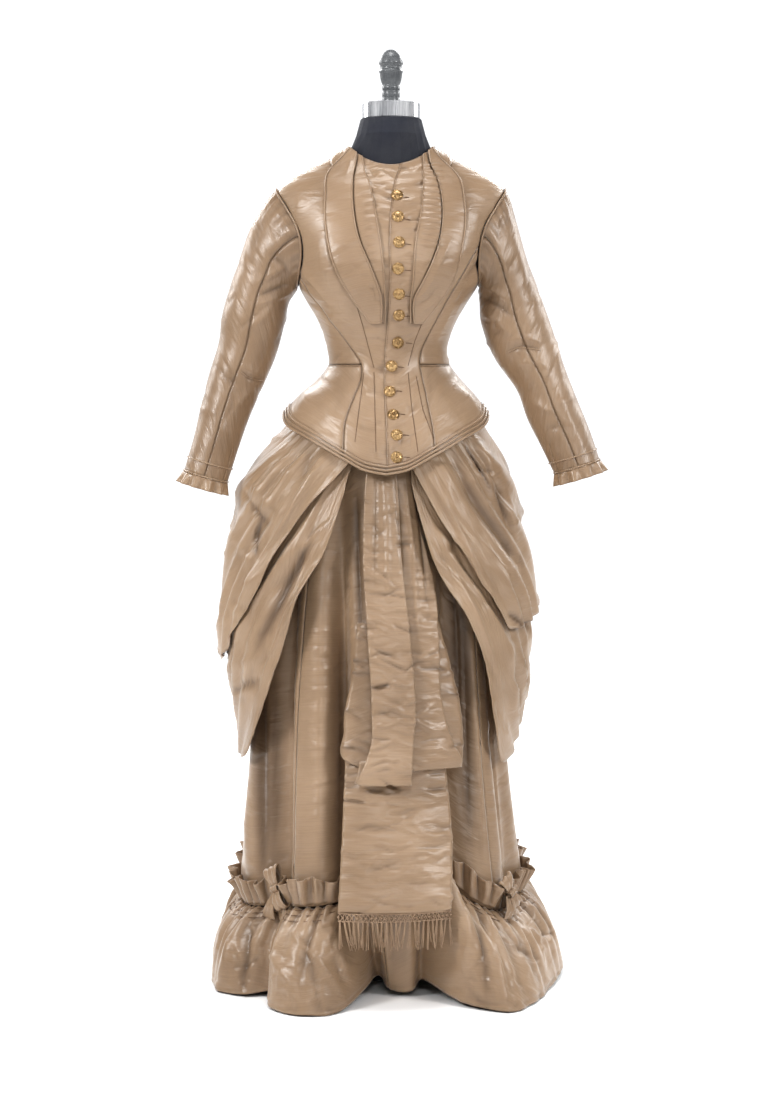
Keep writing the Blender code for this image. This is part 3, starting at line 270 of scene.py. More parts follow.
# Lays one piece of cloth: the surface, its creases, its seams drawn in, and its thickness
def layCloth(name, surface, columnsAt, rowsAt, look, node, creases=(), hidden=(), seams=(), lift=0.0,
             thick=0.0009, ring=False, shape=None, dip=0.0009, dipWide=0.0024,
             press=1.5):
    u, v, points, normal = spread(surface, columnsAt, rowsAt)
    frontal = ease(-normal[..., 1], 0.05, 0.35) if len(hidden) else 1.0
    relief = press * creaseRelief(*inPicture(points), creases) * frontal
    if len(hidden):
        across, down = unrolled(points)
        turned = sum(creaseRelief(across + whole * chart["wholeTurn"], down, hidden) for whole in (-1, 0, 1))
        relief = relief + press * turned * (1 - 0.75 * frontal)
    if shape is not None:
        relief = relief + shape(u, v, points)
    wide = np.concatenate([np.zeros((len(points), 1)),
                           np.cumsum(np.linalg.norm(np.diff(points, axis=1), axis=-1), axis=1)], axis=1)
    tall = np.concatenate([np.zeros((1, points.shape[1])),
                           np.cumsum(np.linalg.norm(np.diff(points, axis=0), axis=-1), axis=0)], axis=0)
    edges = {"left": wide, "right": wide[:, -1:] - wide, "low": tall, "high": tall[-1:] - tall}
    # Darkening kept per point: 0.40 within 2 mm of each listed seam, which is wear, and painted shade
    # wherever the relief sinks, deepest in crease troughs and seam dips
    worn = np.zeros_like(wide)
    for edge in seams:
        relief = relief - dip * np.exp(-(edges[edge] / dipWide) ** 2)
        worn = np.maximum(worn, 0.40 * np.exp(-(edges[edge] / 0.0020) ** 2))
    worn = np.clip(np.maximum(worn, 120 * -np.minimum(relief, 0)), 0, 0.70)
    placed = points + (lift + relief)[..., None] * normal if np.ndim(relief) else points + lift * normal
    rows, columns = wide.shape
    corner = (np.arange(rows - 1)[:, None] * columns + np.arange(columns - 1)).ravel()
    faces = np.stack([corner, corner + 1, corner + columns + 1, corner + columns], axis=-1)
    flat = placed.reshape(-1, 3)
    first = np.cross(flat[faces[:, 1]] - flat[faces[:, 0]], flat[faces[:, 3]] - flat[faces[:, 0]])
    if (first * normal.reshape(-1, 3)[faces[:, 0]]).sum() < 0:
        faces = faces[:, ::-1]
    piece = tableMesh(name, flat, faces)
    mesh = piece.data
    uv = mesh.uv_layers.new(name="Cloth")
    corners = np.empty(len(mesh.loops), np.int32)
    mesh.loops.foreach_get("vertex_index", corners)
    flatPlace = np.stack([wide - wide[:, -1:] / 2, tall], axis=-1).reshape(-1, 2)
    uv.data.foreach_set("uv", flatPlace[corners].astype(np.float32).ravel())
    # Stored for the silk material: seam wear together with painted crease shade
    mark = mesh.attributes.new("worn", "FLOAT", "POINT")
    mark.data.foreach_set("value", worn.reshape(-1).astype(np.float32))
    mesh.shade_smooth()
    mesh.materials.append(look)
    if ring:
        weld = piece.modifiers.new("Join", "WELD")
        weld.merge_threshold = 0.00005
    wall = piece.modifiers.new("Wall", "SOLIDIFY")
    wall.thickness = thick
    wall.offset = 1
    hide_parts(*([node] if isinstance(node, str) else node))
    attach(piece, "root")
    return piece


# Geometry Nodes: a round cord drawn along a line, for piping, seam threads and fringe
def cordTree():
    tree = bpy.data.node_groups.new("cordAlongLine", "GeometryNodeTree")
    for name, kind in (("Line", "NodeSocketGeometry"), ("Thickness", "NodeSocketFloat"),
                       ("Sides", "NodeSocketInt"), ("Finish", "NodeSocketMaterial")):
        tree.interface.new_socket(name, in_out="INPUT", socket_type=kind)
    tree.interface.new_socket("Cord", in_out="OUTPUT", socket_type="NodeSocketGeometry")
    given = tree.nodes.new("NodeGroupInput")
    result = tree.nodes.new("NodeGroupOutput")
    line = tree.nodes.new("GeometryNodeMeshToCurve")
    section = tree.nodes.new("GeometryNodeCurvePrimitiveCircle")
    sweep = tree.nodes.new("GeometryNodeCurveToMesh")
    sweep.inputs["Fill Caps"].default_value = True
    smooth = tree.nodes.new("GeometryNodeSetShadeSmooth")
    real = tree.nodes.new("GeometryNodeRealizeInstances")
    finish = tree.nodes.new("GeometryNodeSetMaterial")
    link = tree.links.new
    link(given.outputs["Line"], line.inputs["Mesh"])
    link(given.outputs["Sides"], section.inputs["Resolution"])
    link(given.outputs["Thickness"], section.inputs["Radius"])
    link(line.outputs["Curve"], sweep.inputs["Curve"])
    link(section.outputs["Curve"], sweep.inputs["Profile Curve"])
    link(sweep.outputs["Mesh"], smooth.inputs["Geometry"])
    link(smooth.outputs["Geometry"], real.inputs["Geometry"])
    link(real.outputs["Geometry"], finish.inputs["Geometry"])
    link(given.outputs["Finish"], finish.inputs["Material"])
    link(finish.outputs["Geometry"], result.inputs["Cord"])
    return tree


# Geometry Nodes: one small shape repeated along a line and turned with it
def repeatTree():
    tree = bpy.data.node_groups.new("repeatAlongLine", "GeometryNodeTree")
    for name, kind in (("Line", "NodeSocketGeometry"), ("Shape", "NodeSocketObject"),
                       ("Spacing", "NodeSocketFloat"), ("Size Change", "NodeSocketFloat"),
                       ("Tilt Change", "NodeSocketFloat"), ("Seed", "NodeSocketInt"),
                       ("Finish", "NodeSocketMaterial")):
        tree.interface.new_socket(name, in_out="INPUT", socket_type=kind)
    tree.interface.new_socket("Row", in_out="OUTPUT", socket_type="NodeSocketGeometry")
    given = tree.nodes.new("NodeGroupInput")
    result = tree.nodes.new("NodeGroupOutput")
    line = tree.nodes.new("GeometryNodeMeshToCurve")
    spots = tree.nodes.new("GeometryNodeCurveToPoints")
    spots.mode = "LENGTH"
    shape = tree.nodes.new("GeometryNodeObjectInfo")
    place = tree.nodes.new("GeometryNodeInstanceOnPoints")
    grow = tree.nodes.new("FunctionNodeRandomValue")
    grow.data_type = "FLOAT"
    low = addNode(tree, "ShaderNodeMath", {0: 1.0}, operation="SUBTRACT")
    high = addNode(tree, "ShaderNodeMath", {0: 1.0}, operation="ADD")
    sway = tree.nodes.new("FunctionNodeRandomValue")
    sway.data_type = "FLOAT"
    back = addNode(tree, "ShaderNodeMath", {1: -1.0}, operation="MULTIPLY")
    tilt = tree.nodes.new("ShaderNodeCombineXYZ")
    turn = tree.nodes.new("GeometryNodeRotateInstances")
    real = tree.nodes.new("GeometryNodeRealizeInstances")
    finish = tree.nodes.new("GeometryNodeSetMaterial")
    link = tree.links.new
    link(given.outputs["Line"], line.inputs["Mesh"])
    link(line.outputs["Curve"], spots.inputs["Curve"])
    link(given.outputs["Spacing"], spots.inputs["Length"])
    link(given.outputs["Shape"], shape.inputs["Object"])
    link(spots.outputs["Points"], place.inputs["Points"])
    link(shape.outputs["Geometry"], place.inputs["Instance"])
    link(given.outputs["Size Change"], low.inputs[1])
    link(given.outputs["Size Change"], high.inputs[1])
    link(low.outputs[0], grow.inputs[2])
    link(high.outputs[0], grow.inputs[3])
    link(given.outputs["Seed"], grow.inputs["Seed"])
    link(grow.outputs[1], place.inputs["Scale"])
    link(given.outputs["Tilt Change"], back.inputs[0])
    link(back.outputs[0], sway.inputs[2])
    link(given.outputs["Tilt Change"], sway.inputs[3])
    link(given.outputs["Seed"], sway.inputs["Seed"])
    link(sway.outputs[1], tilt.inputs["Y"])
    link(spots.outputs["Rotation"], place.inputs["Rotation"])
    link(place.outputs["Instances"], turn.inputs["Instances"])
    link(tilt.outputs["Vector"], turn.inputs["Rotation"])
    link(turn.outputs["Instances"], real.inputs["Geometry"])
    link(real.outputs["Geometry"], finish.inputs["Geometry"])
    link(given.outputs["Finish"], finish.inputs["Material"])
    link(finish.outputs["Geometry"], result.inputs["Row"])
    return tree


# Feeds lines of points to a node tree and keeps the result as a plain mesh
def bakeLines(name, lines, tree, values, look):
    points, joins = [], []
    for line in lines:
        first = len(points)
        points += [tuple(map(float, point)) for point in line]
        joins += [(k, k + 1) for k in range(first, len(points) - 1)]
    mesh = bpy.data.meshes.new(name + "Line")
    mesh.from_pydata(points, joins, [])
    source = bpy.data.objects.new(name + "Line", mesh)
    bpy.context.scene.collection.objects.link(source)
    modifier = source.modifiers.new("Make", "NODES")
    modifier.node_group = tree
    sockets = {item.name: item.identifier for item in tree.interface.items_tree
               if item.in_out == "INPUT"}
    for socket, value in {**values, "Finish": look}.items():
        modifier[sockets[socket]] = value
    source.update_tag()
    bpy.context.view_layer.update()
    graph = bpy.context.evaluated_depsgraph_get()
    baked = bpy.data.meshes.new_from_object(source.evaluated_get(graph), depsgraph=graph)
    baked.name = name
    made = bpy.data.objects.new(name, baked)
    bpy.context.scene.collection.objects.link(made)
    if not baked.materials:
        baked.materials.append(look)
    source.modifiers.remove(modifier)
    bpy.data.objects.remove(source, do_unlink=True)
    return made


def settle(piece, node=None):
    if node:
        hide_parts(*([node] if isinstance(node, str) else node))
    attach(piece, "root")
    return piece


cords = cordTree()
repeats = repeatTree()


def pipe(name, lines, radius, look, sides=8):
    made = bakeLines(name, lines, cords, {"Thickness": radius, "Sides": sides}, look)
    return settle(made)


# One column of a table, as a smooth curve over the table's first column
def read(table, name, at):
    keys = np.array([row[0] for row in table])
    values = np.array([getattr(row, name) for row in table])
    slopes = np.gradient(values, keys)
    at = np.clip(at, keys[0], keys[-1])
    i = np.clip(np.searchsorted(keys, at, side="right") - 1, 0, len(keys) - 2)
    span = keys[i + 1] - keys[i]
    t = (at - keys[i]) / span
    rising = (t**3 - 2 * t**2 + t) * slopes[i] + (t**3 - t**2) * slopes[i + 1]
    return values[i] + (3 * t**2 - 2 * t**3) * (values[i + 1] - values[i]) + span * rising


# The same direction between -180 and 180 degrees, as the tables round the skirt have it
def around(angle):
    return (angle + 180) % 360 - 180


# 0 at start, 1 at end, level at both
def ease(at, start, end):
    t = np.clip((at - start) / (end - start), 0, 1)
    return t * t * (3 - 2 * t)


def bump(t):
    return np.exp(-t * t)


def between(a, b, t):
    return a + (b - a) * t


# X and Y on the table's oval at this height, moved out
def onSection(table, angle, height, out):
    turn = np.radians(angle)
    front = read(table, "front", height)
    depth = np.where(np.cos(turn) > 0, front, read(table, "back", height))
    half = read(table, "half", height)
    x = read(table, "shift", height) + (half + out) * np.sin(turn)
    return x, -(depth + out) * np.cos(turn)


Section = namedtuple("Section", "height half front back shift")
bodySections = [
    Section(0.800, 0.205, 0.156, 0.235, -0.008),
    Section(0.860, 0.190, 0.143, 0.213, -0.008),
    Section(0.908, 0.163, 0.123, 0.184, -0.008),
    Section(0.935, 0.141, 0.110, 0.150, -0.006),
    Section(0.960, 0.1150, 0.0965, 0.113, -0.003),
    Section(0.984, 0.0970, 0.0885, 0.086, -0.003),
    Section(1.008, 0.0955, 0.0885, 0.081, -0.006),
    Section(1.032, 0.1010, 0.0940, 0.083, -0.006),
    Section(1.056, 0.1110, 0.1020, 0.088, -0.006),
    Section(1.080, 0.1250, 0.1090, 0.093, -0.006),
    Section(1.105, 0.1400, 0.1140, 0.098, -0.005),
    Section(1.130, 0.1510, 0.1160, 0.102, -0.003),
    Section(1.160, 0.1610, 0.1150, 0.105, -0.001),
    Section(1.200, 0.1730, 0.1070, 0.105, 0.0),
    Section(1.235, 0.1830, 0.0940, 0.100, 0.0),
    Section(1.262, 0.1800, 0.0810, 0.090, 0.0),
    Section(1.285, 0.1520, 0.0690, 0.080, 0.0),
    Section(1.303, 0.1150, 0.0610, 0.071, 0.0),
    Section(1.318, 0.0830, 0.0550, 0.063, 0.0),
    Section(1.327, 0.0660, 0.0530, 0.058, 0.0),
]
bodiceLevels = (0.984, 1.014, 1.048, 1.085, 1.125, 1.165, 1.200, 1.232, 1.256, 1.276, 1.298, 1.316, 1.327)
bodiceCut = {
    "waistHeight": 0.984, "waistSeam": 0.0014, "waistRows": 3, "shoulderHeight": 1.262,
    "neckHeight": bodiceLevels[-1], "neckDipFront": 0.028, "neckRiseBack": 0.010,
    "bustHeight": 1.140, "bustTall": 0.055, "bustAngle": 36, "bustWide": 20, "bustDepth": 0.013,
}


# The bodice's inner surface, with its bust, shoulders and dipped neck
def body(angle, height, out=0.0):
    turn = np.radians(angle)
    rise = 0.85 * ease(height, 1.230, 1.290) * np.sin(turn) ** 2
    x, y = onSection(bodySections, angle, height, out * np.sqrt(1 - rise**2))
    bust = bodiceCut["bustDepth"] * bump((height - bodiceCut["bustHeight"]) / bodiceCut["bustTall"])
    bust = bust * bump((np.abs(angle) - bodiceCut["bustAngle"]) / bodiceCut["bustWide"])
    dip = np.where(np.cos(turn) > 0, bodiceCut["neckDipFront"], -bodiceCut["neckRiseBack"])
    dip = dip * np.cos(turn) ** 2 * ease(height, bodiceCut["shoulderHeight"], bodiceCut["neckHeight"])
    return np.stack(np.broadcast_arrays(x, y - bust, height + out * rise - dip), axis=-1)


# The angle in front at which the section reaches this X
def angleAt(table, x, height):
    reach = (x - read(table, "shift", height)) / read(table, "half", height)
    return np.degrees(np.arcsin(np.clip(reach, -1, 1)))


armhole = {"height": 1.186, "tall": 0.076, "wide": 33}


# How far the armhole's edge lies from the side, in degrees, at this height
def armholeAngle(height):
    t = np.clip((height - armhole["height"]) / armhole["tall"], -1, 1)
    return armhole["wide"] * np.sqrt(1 - t * t)


# Height of the armhole's lower edge this many degrees from the side
def armholeBottom(fromSide):
    t = np.clip(fromSide / armhole["wide"], -1, 1)
    return armhole["height"] - armhole["tall"] * np.sqrt(1 - t * t)


SeamLine = namedtuple("SeamLine", "height right left back")
seamLines = [
    SeamLine(0.800, 18, 22, 14),
    SeamLine(0.880, 21, 24, 14),
    SeamLine(0.984, 27, 30, 15),
    SeamLine(1.056, 56, 45, 24),
    SeamLine(1.105, 67, 49, 35),
    SeamLine(1.150, 76, 54, 47),
    SeamLine(1.180, 80, 59, 57),
]


def seamAngle(facing, side, height):
    if facing < 0:
        return read(seamLines, "back", height)
    return read(seamLines, "right" if side < 0 else "left", height)


# Turns degrees from the centre front or the centre back into the angle round the figure
def facingAngle(facing, side, angle):
    return side * (angle if facing > 0 else 180 - angle)


stuff = {"wall": 0.0015, "seam": 0.0003}


# Half a seam's gap, in degrees round the body; the walls lean together beside the bust
def seamGap(height):
    wide = 1.4 + bump((height - bodiceCut["bustHeight"]) / bodiceCut["bustTall"])
    return np.degrees(wide * stuff["seam"] / read(bodySections, "half", height))


# Where a front or a back ends: at its long seam, then the armhole, then the shoulder
def outerEdge(facing, side, height):
    hole = 90 - armholeAngle(height)
    seam = seamAngle(facing, side, height)
    edge = np.where(height < armhole["height"], np.minimum(seam, hole), hole)
    return edge - seamGap(height)


# Heights of a piece's rows: evenly up from the hem, and on the shared levels above
def levelHeights(rows, hem):
    lower = between(hem, bodiceLevels[0], np.clip(rows / bodiceCut["waistRows"], 0, 1))
    upper = np.interp(rows - bodiceCut["waistRows"], np.arange(len(bodiceLevels)), bodiceLevels)
    return np.where(rows < bodiceCut["waistRows"], lower, upper)


Closure = namedtuple("Closure", "height edge")
closureLine = [
    Closure(0.800, -0.005),
    Closure(0.880, -0.008),
    Closure(0.970, -0.011),
    Closure(1.100, -0.003),
    Closure(1.210, -0.002),
    Closure(1.327, 0.013),
]
closing = {"lift": 0.0025, "run": 0.028, "underlap": 0.012, "stand": 0.0175, "share": 0.125}


# How far the left front stands off the body, to clear the right one that runs under it
def frontLift(angle, height):
    x = read(bodySections, "half", height) * np.sin(np.radians(angle))
    past = x - read(closureLine, "edge", height) - closing["stand"]
    return closing["lift"] * (1 - np.clip(past / closing["run"], 0, 1))


BasqueHem = namedtuple("BasqueHem", "angle height")
basqueHemLine = [
    BasqueHem(0, 0.8125),
    BasqueHem(10, 0.820),
    BasqueHem(19, 0.836),
    BasqueHem(38, 0.865),
    BasqueHem(60, 0.886),
    BasqueHem(86, 0.908),
    BasqueHem(110, 0.902),
    BasqueHem(140, 0.884),
    BasqueHem(180, 0.868),
]


# A bodice front, from the basque's hem to the neck; the left one laps over the right
def front(side):
    def surface(u, v, out=0.0):
        height = levelHeights(v, 0.83)
        for _ in range(3):
            edge = read(closureLine, "edge", height) + (closing["underlap"] if side < 0 else 0)
            start = angleAt(bodySections, edge, height)
            band = angleAt(bodySections, edge + side * closing["stand"], height)
            past = (u - closing["share"]) / (1 - closing["share"])
            rest = between(band, side * outerEdge(1, side, height), past)
            angle = np.where(u < closing["share"], between(start, band, u / closing["share"]), rest)
            height = levelHeights(v, read(basqueHemLine, "height", np.abs(angle)))
        lift = frontLift(angle, height) if side > 0 else 0
        return body(angle, height, out + lift)

    return surface


def back(side):
    def surface(u, v, out=0.0):
        height = levelHeights(v + bodiceCut["waistRows"], 0)
        angle = between(seamGap(height), outerEdge(-1, side, height), u)
        return body(facingAngle(-1, side, angle), height, out)

    return surface


# A side front or side back, from the waist seam up to the armhole
def sidePanel(facing, side):
    def surface(u, v, out=0.0):
        height = np.full_like(u, 1.05)
        for _ in range(12):
            seam = seamAngle(facing, side, height) + seamGap(height)
            angle = between(seam, 90 - seamGap(height), u)
            top = armholeBottom(90 - angle) - stuff["seam"]
            height = between(height, between(bodiceCut["waistHeight"], top, v), 0.6)
        return body(facingAngle(facing, side, angle), height, out)

    return surface


# A basque skirt, sewn on at the waist seam: the side one reaches back past the side
def basque(facing, side):
    split = 102

    def surface(u, v, out=0.0):
        height = np.full_like(u, 0.93)
        for _ in range(3):
            gap = seamGap(height)
            if facing > 0:
                angle = between(seamAngle(1, side, height) + gap, split - gap, u)
            else:
                angle = between(180 - gap, split + gap, u)
            hem = read(basqueHemLine, "height", angle)
            height = between(hem, bodiceCut["waistHeight"] - bodiceCut["waistSeam"], v)
        return body(side * angle, height, out)

    return surface


Revers = namedtuple("Revers", "height outer middle inner")
reversEdges = {
    -1: [
        Revers(1.040, 0.0250, 0.0150, 0.0095),
        Revers(1.088, 0.0590, 0.0150, 0.0095),
        Revers(1.130, 0.0820, 0.0290, 0.0115),
        Revers(1.179, 0.0950, 0.0480, 0.0170),
        Revers(1.239, 0.0990, 0.0580, 0.0270),
        Revers(1.302, 0.0870, 0.0550, 0.0400),
        Revers(1.327, 0.0610, 0.0500, 0.0430),
    ],
    1: [
        Revers(1.040, 0.0400, 0.0340, 0.0290),
        Revers(1.088, 0.0760, 0.0350, 0.0300),
        Revers(1.113, 0.0910, 0.0480, 0.0330),
        Revers(1.176, 0.1080, 0.0730, 0.0380),
        Revers(1.233, 0.1110, 0.0780, 0.0480),
        Revers(1.295, 0.0930, 0.0650, 0.0500),
        Revers(1.327, 0.0610, 0.0540, 0.0480),
    ],
}
reversCut = {"start": 2, "lift": 0.0015, "collarGap": 0.5, "collarLift": 0.0027, "collarDrop": 0.0085}


# A revers on its front: the outer one, or the inner one beside it towards the closure
def revers(side, inside):
    def surface(u, v, out=0.0):
        height = np.interp(v + reversCut["start"], np.arange(len(bodiceLevels)), bodiceLevels)
        near = read(reversEdges[side], "inner" if inside else "middle", height)
        far = read(reversEdges[side], "middle" if inside else "outer", height)
        far = np.maximum(far - (stuff["seam"] if inside else 0), near + 0.001)
        angle = angleAt(bodySections, side * between(near, far, u), height)
        lift = stuff["wall"] + reversCut["lift"]
        if side > 0:
            lift = lift + frontLift(angle, height)
        return body(angle, height, out + lift)

    return surface


collarLevels = (1.298, 1.316, 1.327)


# The collar behind the neck, from one outer revers to the other
def collar(u, v, out=0.0):
    height = np.interp(v, np.arange(len(collarLevels)), collarLevels)
    right, left = (
        angleAt(bodySections, side * read(reversEdges[side], "outer", height), height) for side in (-1, 1)
    )
    angle = between(right - reversCut["collarGap"], left + reversCut["collarGap"] - 360, u)
    height = height + reversCut["collarDrop"] * (2 - v) * np.abs(np.sin(np.radians(angle))) ** 5
    return body(angle, height, out + stuff["wall"] + reversCut["collarLift"])


SleeveRing = namedtuple("SleeveRing", "along out forward height lean across deep")
sleeveRings = {
    -1: [
        SleeveRing(0.00, 0.182, 0.000, 1.183, 72, 0.0660, 0.060),
        SleeveRing(0.10, 0.1882, 0.000, 1.1545, 52, 0.0603, 0.058),
        SleeveRing(0.20, 0.1985, 0.000, 1.1260, 37, 0.0512, 0.054),
        SleeveRing(0.31, 0.2100, 0.001, 1.0990, 19, 0.0480, 0.051),
        SleeveRing(0.43, 0.2213, 0.002, 1.0552, 10, 0.0495, 0.050),
        SleeveRing(0.55, 0.2312, 0.002, 1.0080, 14, 0.0460, 0.048),
        SleeveRing(0.66, 0.2490, 0.006, 0.960, 18, 0.0430, 0.046),
        SleeveRing(0.77, 0.2655, 0.014, 0.911, 17, 0.0390, 0.043),
        SleeveRing(0.88, 0.2790, 0.024, 0.863, 16, 0.0360, 0.040),
        SleeveRing(1.00, 0.2960, 0.034, 0.806, 16, 0.0350, 0.036),
    ],
    1: [
        SleeveRing(0.00, 0.179, 0.000, 1.183, 74, 0.0640, 0.060),
        SleeveRing(0.10, 0.1740, 0.000, 1.1490, 54, 0.0545, 0.057),
        SleeveRing(0.20, 0.1800, 0.000, 1.1220, 36, 0.0470, 0.053),
        SleeveRing(0.31, 0.1880, 0.001, 1.0975, 15, 0.0470, 0.051),
        SleeveRing(0.43, 0.1985, 0.002, 1.0550, 6, 0.0530, 0.050),
        SleeveRing(0.55, 0.2160, 0.002, 1.008, 15, 0.0505, 0.048),
        SleeveRing(0.66, 0.2410, 0.006, 0.960, 22, 0.0415, 0.045),
        SleeveRing(0.77, 0.2595, 0.014, 0.911, 19, 0.0420, 0.043),
        SleeveRing(0.88, 0.2795, 0.024, 0.866, 18, 0.0400, 0.040),
        SleeveRing(1.00, 0.2970, 0.034, 0.822, 17, 0.0370, 0.037),
    ],
}


# Middle of the sleeve, and the directions outward across it and down it
def sleeveFrame(side, along):
    table = sleeveRings[side]
    lean = np.radians(read(table, "lean", along))
    middle = [
        side * read(table, "out", along),
        -read(table, "forward", along),
        read(table, "height", along),
    ]
    still = np.zeros_like(lean)
    across = [side * np.cos(lean), still, np.sin(lean)]
    down = [side * np.sin(lean), still, -np.cos(lean)]
    return [np.stack(np.broadcast_arrays(*axis), axis=-1) for axis in (middle, across, down)]


sleeveCut = {"lift": 0.0037, "frillDeep": 0.019, "frillWaves": 11, "frillWave": 0.0022, "frillFlare": 0.004}


# Part of the sleeve's round, in degrees from its outer line by way of its front
def sleeve(side, start, end):
    def surface(u, v, out=0.0):
        turn = np.radians(between(start, end, u))
        middle, across, _ = sleeveFrame(side, v)
        wide = (read(sleeveRings[side], "across", v) + out) * np.cos(turn)
        deep = (read(sleeveRings[side], "deep", v) + out) * np.sin(turn)
        tube = middle + wide[..., None] * across + deep[..., None] * np.array([0.0, -1.0, 0.0])
        grow = 1.02 + out / armhole["tall"]
        angle = 90 - armhole["wide"] * grow * np.sin(turn)
        height = armhole["height"] + armhole["tall"] * grow * np.cos(turn)
        head = body(side * angle, height, sleeveCut["lift"])
        return between(head, tube, ease(v, 0, 0.14)[..., None])

    return surface


# The pleated frill that stands out of the wrist
def cuffFrill(side):
    def surface(u, v, out=0.0):
        turn = 2 * math.pi * u
        middle, across, down = sleeveFrame(side, np.ones_like(u))
        middle = middle + (3 * stuff["seam"] + sleeveCut["frillDeep"] * v)[..., None] * down
        pleat = 1 + np.sin(sleeveCut["frillWaves"] * turn)
        wave = (sleeveCut["frillFlare"] * v + sleeveCut["frillWave"] * (0.4 + 0.6 * v)) * pleat
        grow = out + wave * 0.7
        wide = (read(sleeveRings[side], "across", 1.0) + grow) * np.cos(turn)
        deep = (read(sleeveRings[side], "deep", 1.0) + grow) * np.sin(turn)
        return middle + wide[..., None] * across + deep[..., None] * np.array([0.0, -1.0, 0.0])

    return surface


Fold = namedtuple("Fold", "top flounce width depth")
skirtFolds = [
    Fold(-92, -94, 7, 0.018),
    Fold(-52, -47, 7, 0.036),
    Fold(-22, -15, 5.5, 0.042),
    Fold(15, 18, 6, 0.022),
    Fold(35, 34, 6.5, 0.034),
    Fold(66, 68, 8, 0.018),
    Fold(92, 95, 7, 0.020),
    Fold(118, 120, 7, 0.026),
    Fold(140, 142, 6, 0.030),
    Fold(158, 160, 5.5, 0.032),
    Fold(180, 180, 5.5, 0.030),
    Fold(-158, -160, 5.5, 0.032),
    Fold(-139, -141, 6, 0.030),
    Fold(-117, -119, 7, 0.026),
]
skirtCut = {
    "foldTop": 0.88, "foldFull": 0.45, "flounceSeam": 0.0024, "bulge": 0.015, "gathers": 36,
    "gatherDeep": 0.0036, "ruffleTall": 0.040, "ruffleWaves": 32, "ruffleDeep": 0.0042,
    "ruffleLift": 0.0004,
}


# How far the underskirt falls back into its lengthwise folds
def foldDepth(angle, height):
    total = 0
    down = ease(height, 0.80, 0.17)
    for fold in skirtFolds:
        at = between(fold.top, fold.flounce, down)
        away = around(angle - at)
        total = total + fold.depth * bump(away / fold.width)
    return total * (1 - ease(height, skirtCut["foldFull"], skirtCut["foldTop"]))


skirtSections = [
    Section(0.170, 0.229, 0.236, 0.362, -0.016),
    Section(0.250, 0.220, 0.218, 0.350, -0.018),
    Section(0.350, 0.211, 0.192, 0.333, -0.020),
    Section(0.450, 0.205, 0.172, 0.316, -0.020),
    Section(0.550, 0.197, 0.155, 0.298, -0.018),
    Section(0.650, 0.188, 0.139, 0.276, -0.016),
    Section(0.750, 0.176, 0.125, 0.245, -0.014),
    Section(0.820, 0.163, 0.115, 0.212, -0.012),
    Section(0.880, 0.142, 0.104, 0.165, -0.008),
    Section(0.930, 0.119, 0.094, 0.120, -0.005),
    Section(0.970, 0.0985, 0.0840, 0.088, -0.003),
]


def skirt(angle, height, out=0.0):
    x, y = onSection(skirtSections, angle, height, out - foldDepth(angle, height))
    return np.stack(np.broadcast_arrays(x, y, height), axis=-1)


Heading = namedtuple("Heading", "angle height")
headingLine = [
    Heading(-180, 0.165),
    Heading(-120, 0.150),
    Heading(-90, 0.130),
    Heading(-68, 0.126),
    Heading(-46, 0.139),
    Heading(-25, 0.150),
    Heading(-12, 0.160),
    Heading(5, 0.188),
    Heading(18, 0.218),
    Heading(24, 0.224),
    Heading(30, 0.200),
    Heading(36, 0.166),
    Heading(43, 0.143),
    Heading(56, 0.126),
    Heading(78, 0.134),
    Heading(120, 0.150),
    Heading(180, 0.165),
]


def underskirt(start, end):
    def surface(u, v, out=0.0):
        angle = between(start, end, u)
        foot = read(headingLine, "height", around(angle)) + stuff["seam"] / 2
        return skirt(angle, between(foot, skirtSections[-1].height, v), out)

    return surface


HemPoint = namedtuple("HemPoint", "angle reach lift")
hemLine = [
    HemPoint(-180, 0.420, 0.004),
    HemPoint(-166, 0.428, 0.002),
    HemPoint(-152, 0.380, 0.005),
    HemPoint(-138, 0.362, 0.002),
    HemPoint(-122, 0.312, 0.005),
    HemPoint(-104, 0.290, 0.002),
    HemPoint(-86, 0.288, 0.002),
    HemPoint(-69, 0.302, 0.003),
    HemPoint(-58, 0.308, 0.002),
    HemPoint(-51, 0.292, 0.004),
    HemPoint(-45, 0.258, 0.010),
    HemPoint(-39, 0.300, 0.004),
    HemPoint(-31, 0.326, 0.002),
    HemPoint(-23, 0.326, 0.002),
    HemPoint(-15, 0.285, 0.004),
    HemPoint(-9, 0.165, 0.026),
    HemPoint(0, 0.178, 0.010),
    HemPoint(10, 0.186, 0.010),
    HemPoint(17, 0.176, 0.024),
    HemPoint(24, 0.262, 0.008),
    HemPoint(32, 0.328, 0.002),
    HemPoint(43, 0.318, 0.002),
    HemPoint(60, 0.288, 0.003),
    HemPoint(84, 0.280, 0.010),
    HemPoint(104, 0.286, 0.002),
    HemPoint(122, 0.312, 0.005),
    HemPoint(138, 0.362, 0.002),
    HemPoint(152, 0.380, 0.005),
    HemPoint(166, 0.428, 0.002),
    HemPoint(180, 0.420, 0.004),
]


# The gathered flounce: it swells below its shirred top and reaches out to the hem
def flounce(start, end):
    def surface(u, v, out=0.0):
        angle = around(between(start, end, u))
        top = read(headingLine, "height", angle) - skirtCut["flounceSeam"]
        x, y, _ = np.moveaxis(skirt(angle, top), -1, 0)
        turn = np.radians(angle)
        reach = read(hemLine, "reach", angle)
        outward = v ** 0.85
        gather = skirtCut["gatherDeep"] * (1 - v) ** 0.7 * (1 + np.cos(skirtCut["gathers"] * turn)) / 2
        behindSash = bump((angle - 5) / 16)
        swell = skirtCut["bulge"] * (1 - 0.8 * behindSash) * np.sin(math.pi * v ** 0.75)
        swell = swell + gather * ease(v, 0, 0.15) + out
        x = between(x, reach * np.sin(turn), outward) + swell * np.sin(turn)
        y = between(y, -reach * np.cos(turn), outward) - swell * np.cos(turn)
        return np.stack([x, y, between(top, read(hemLine, "lift", angle), v)], axis=-1)

    return surface


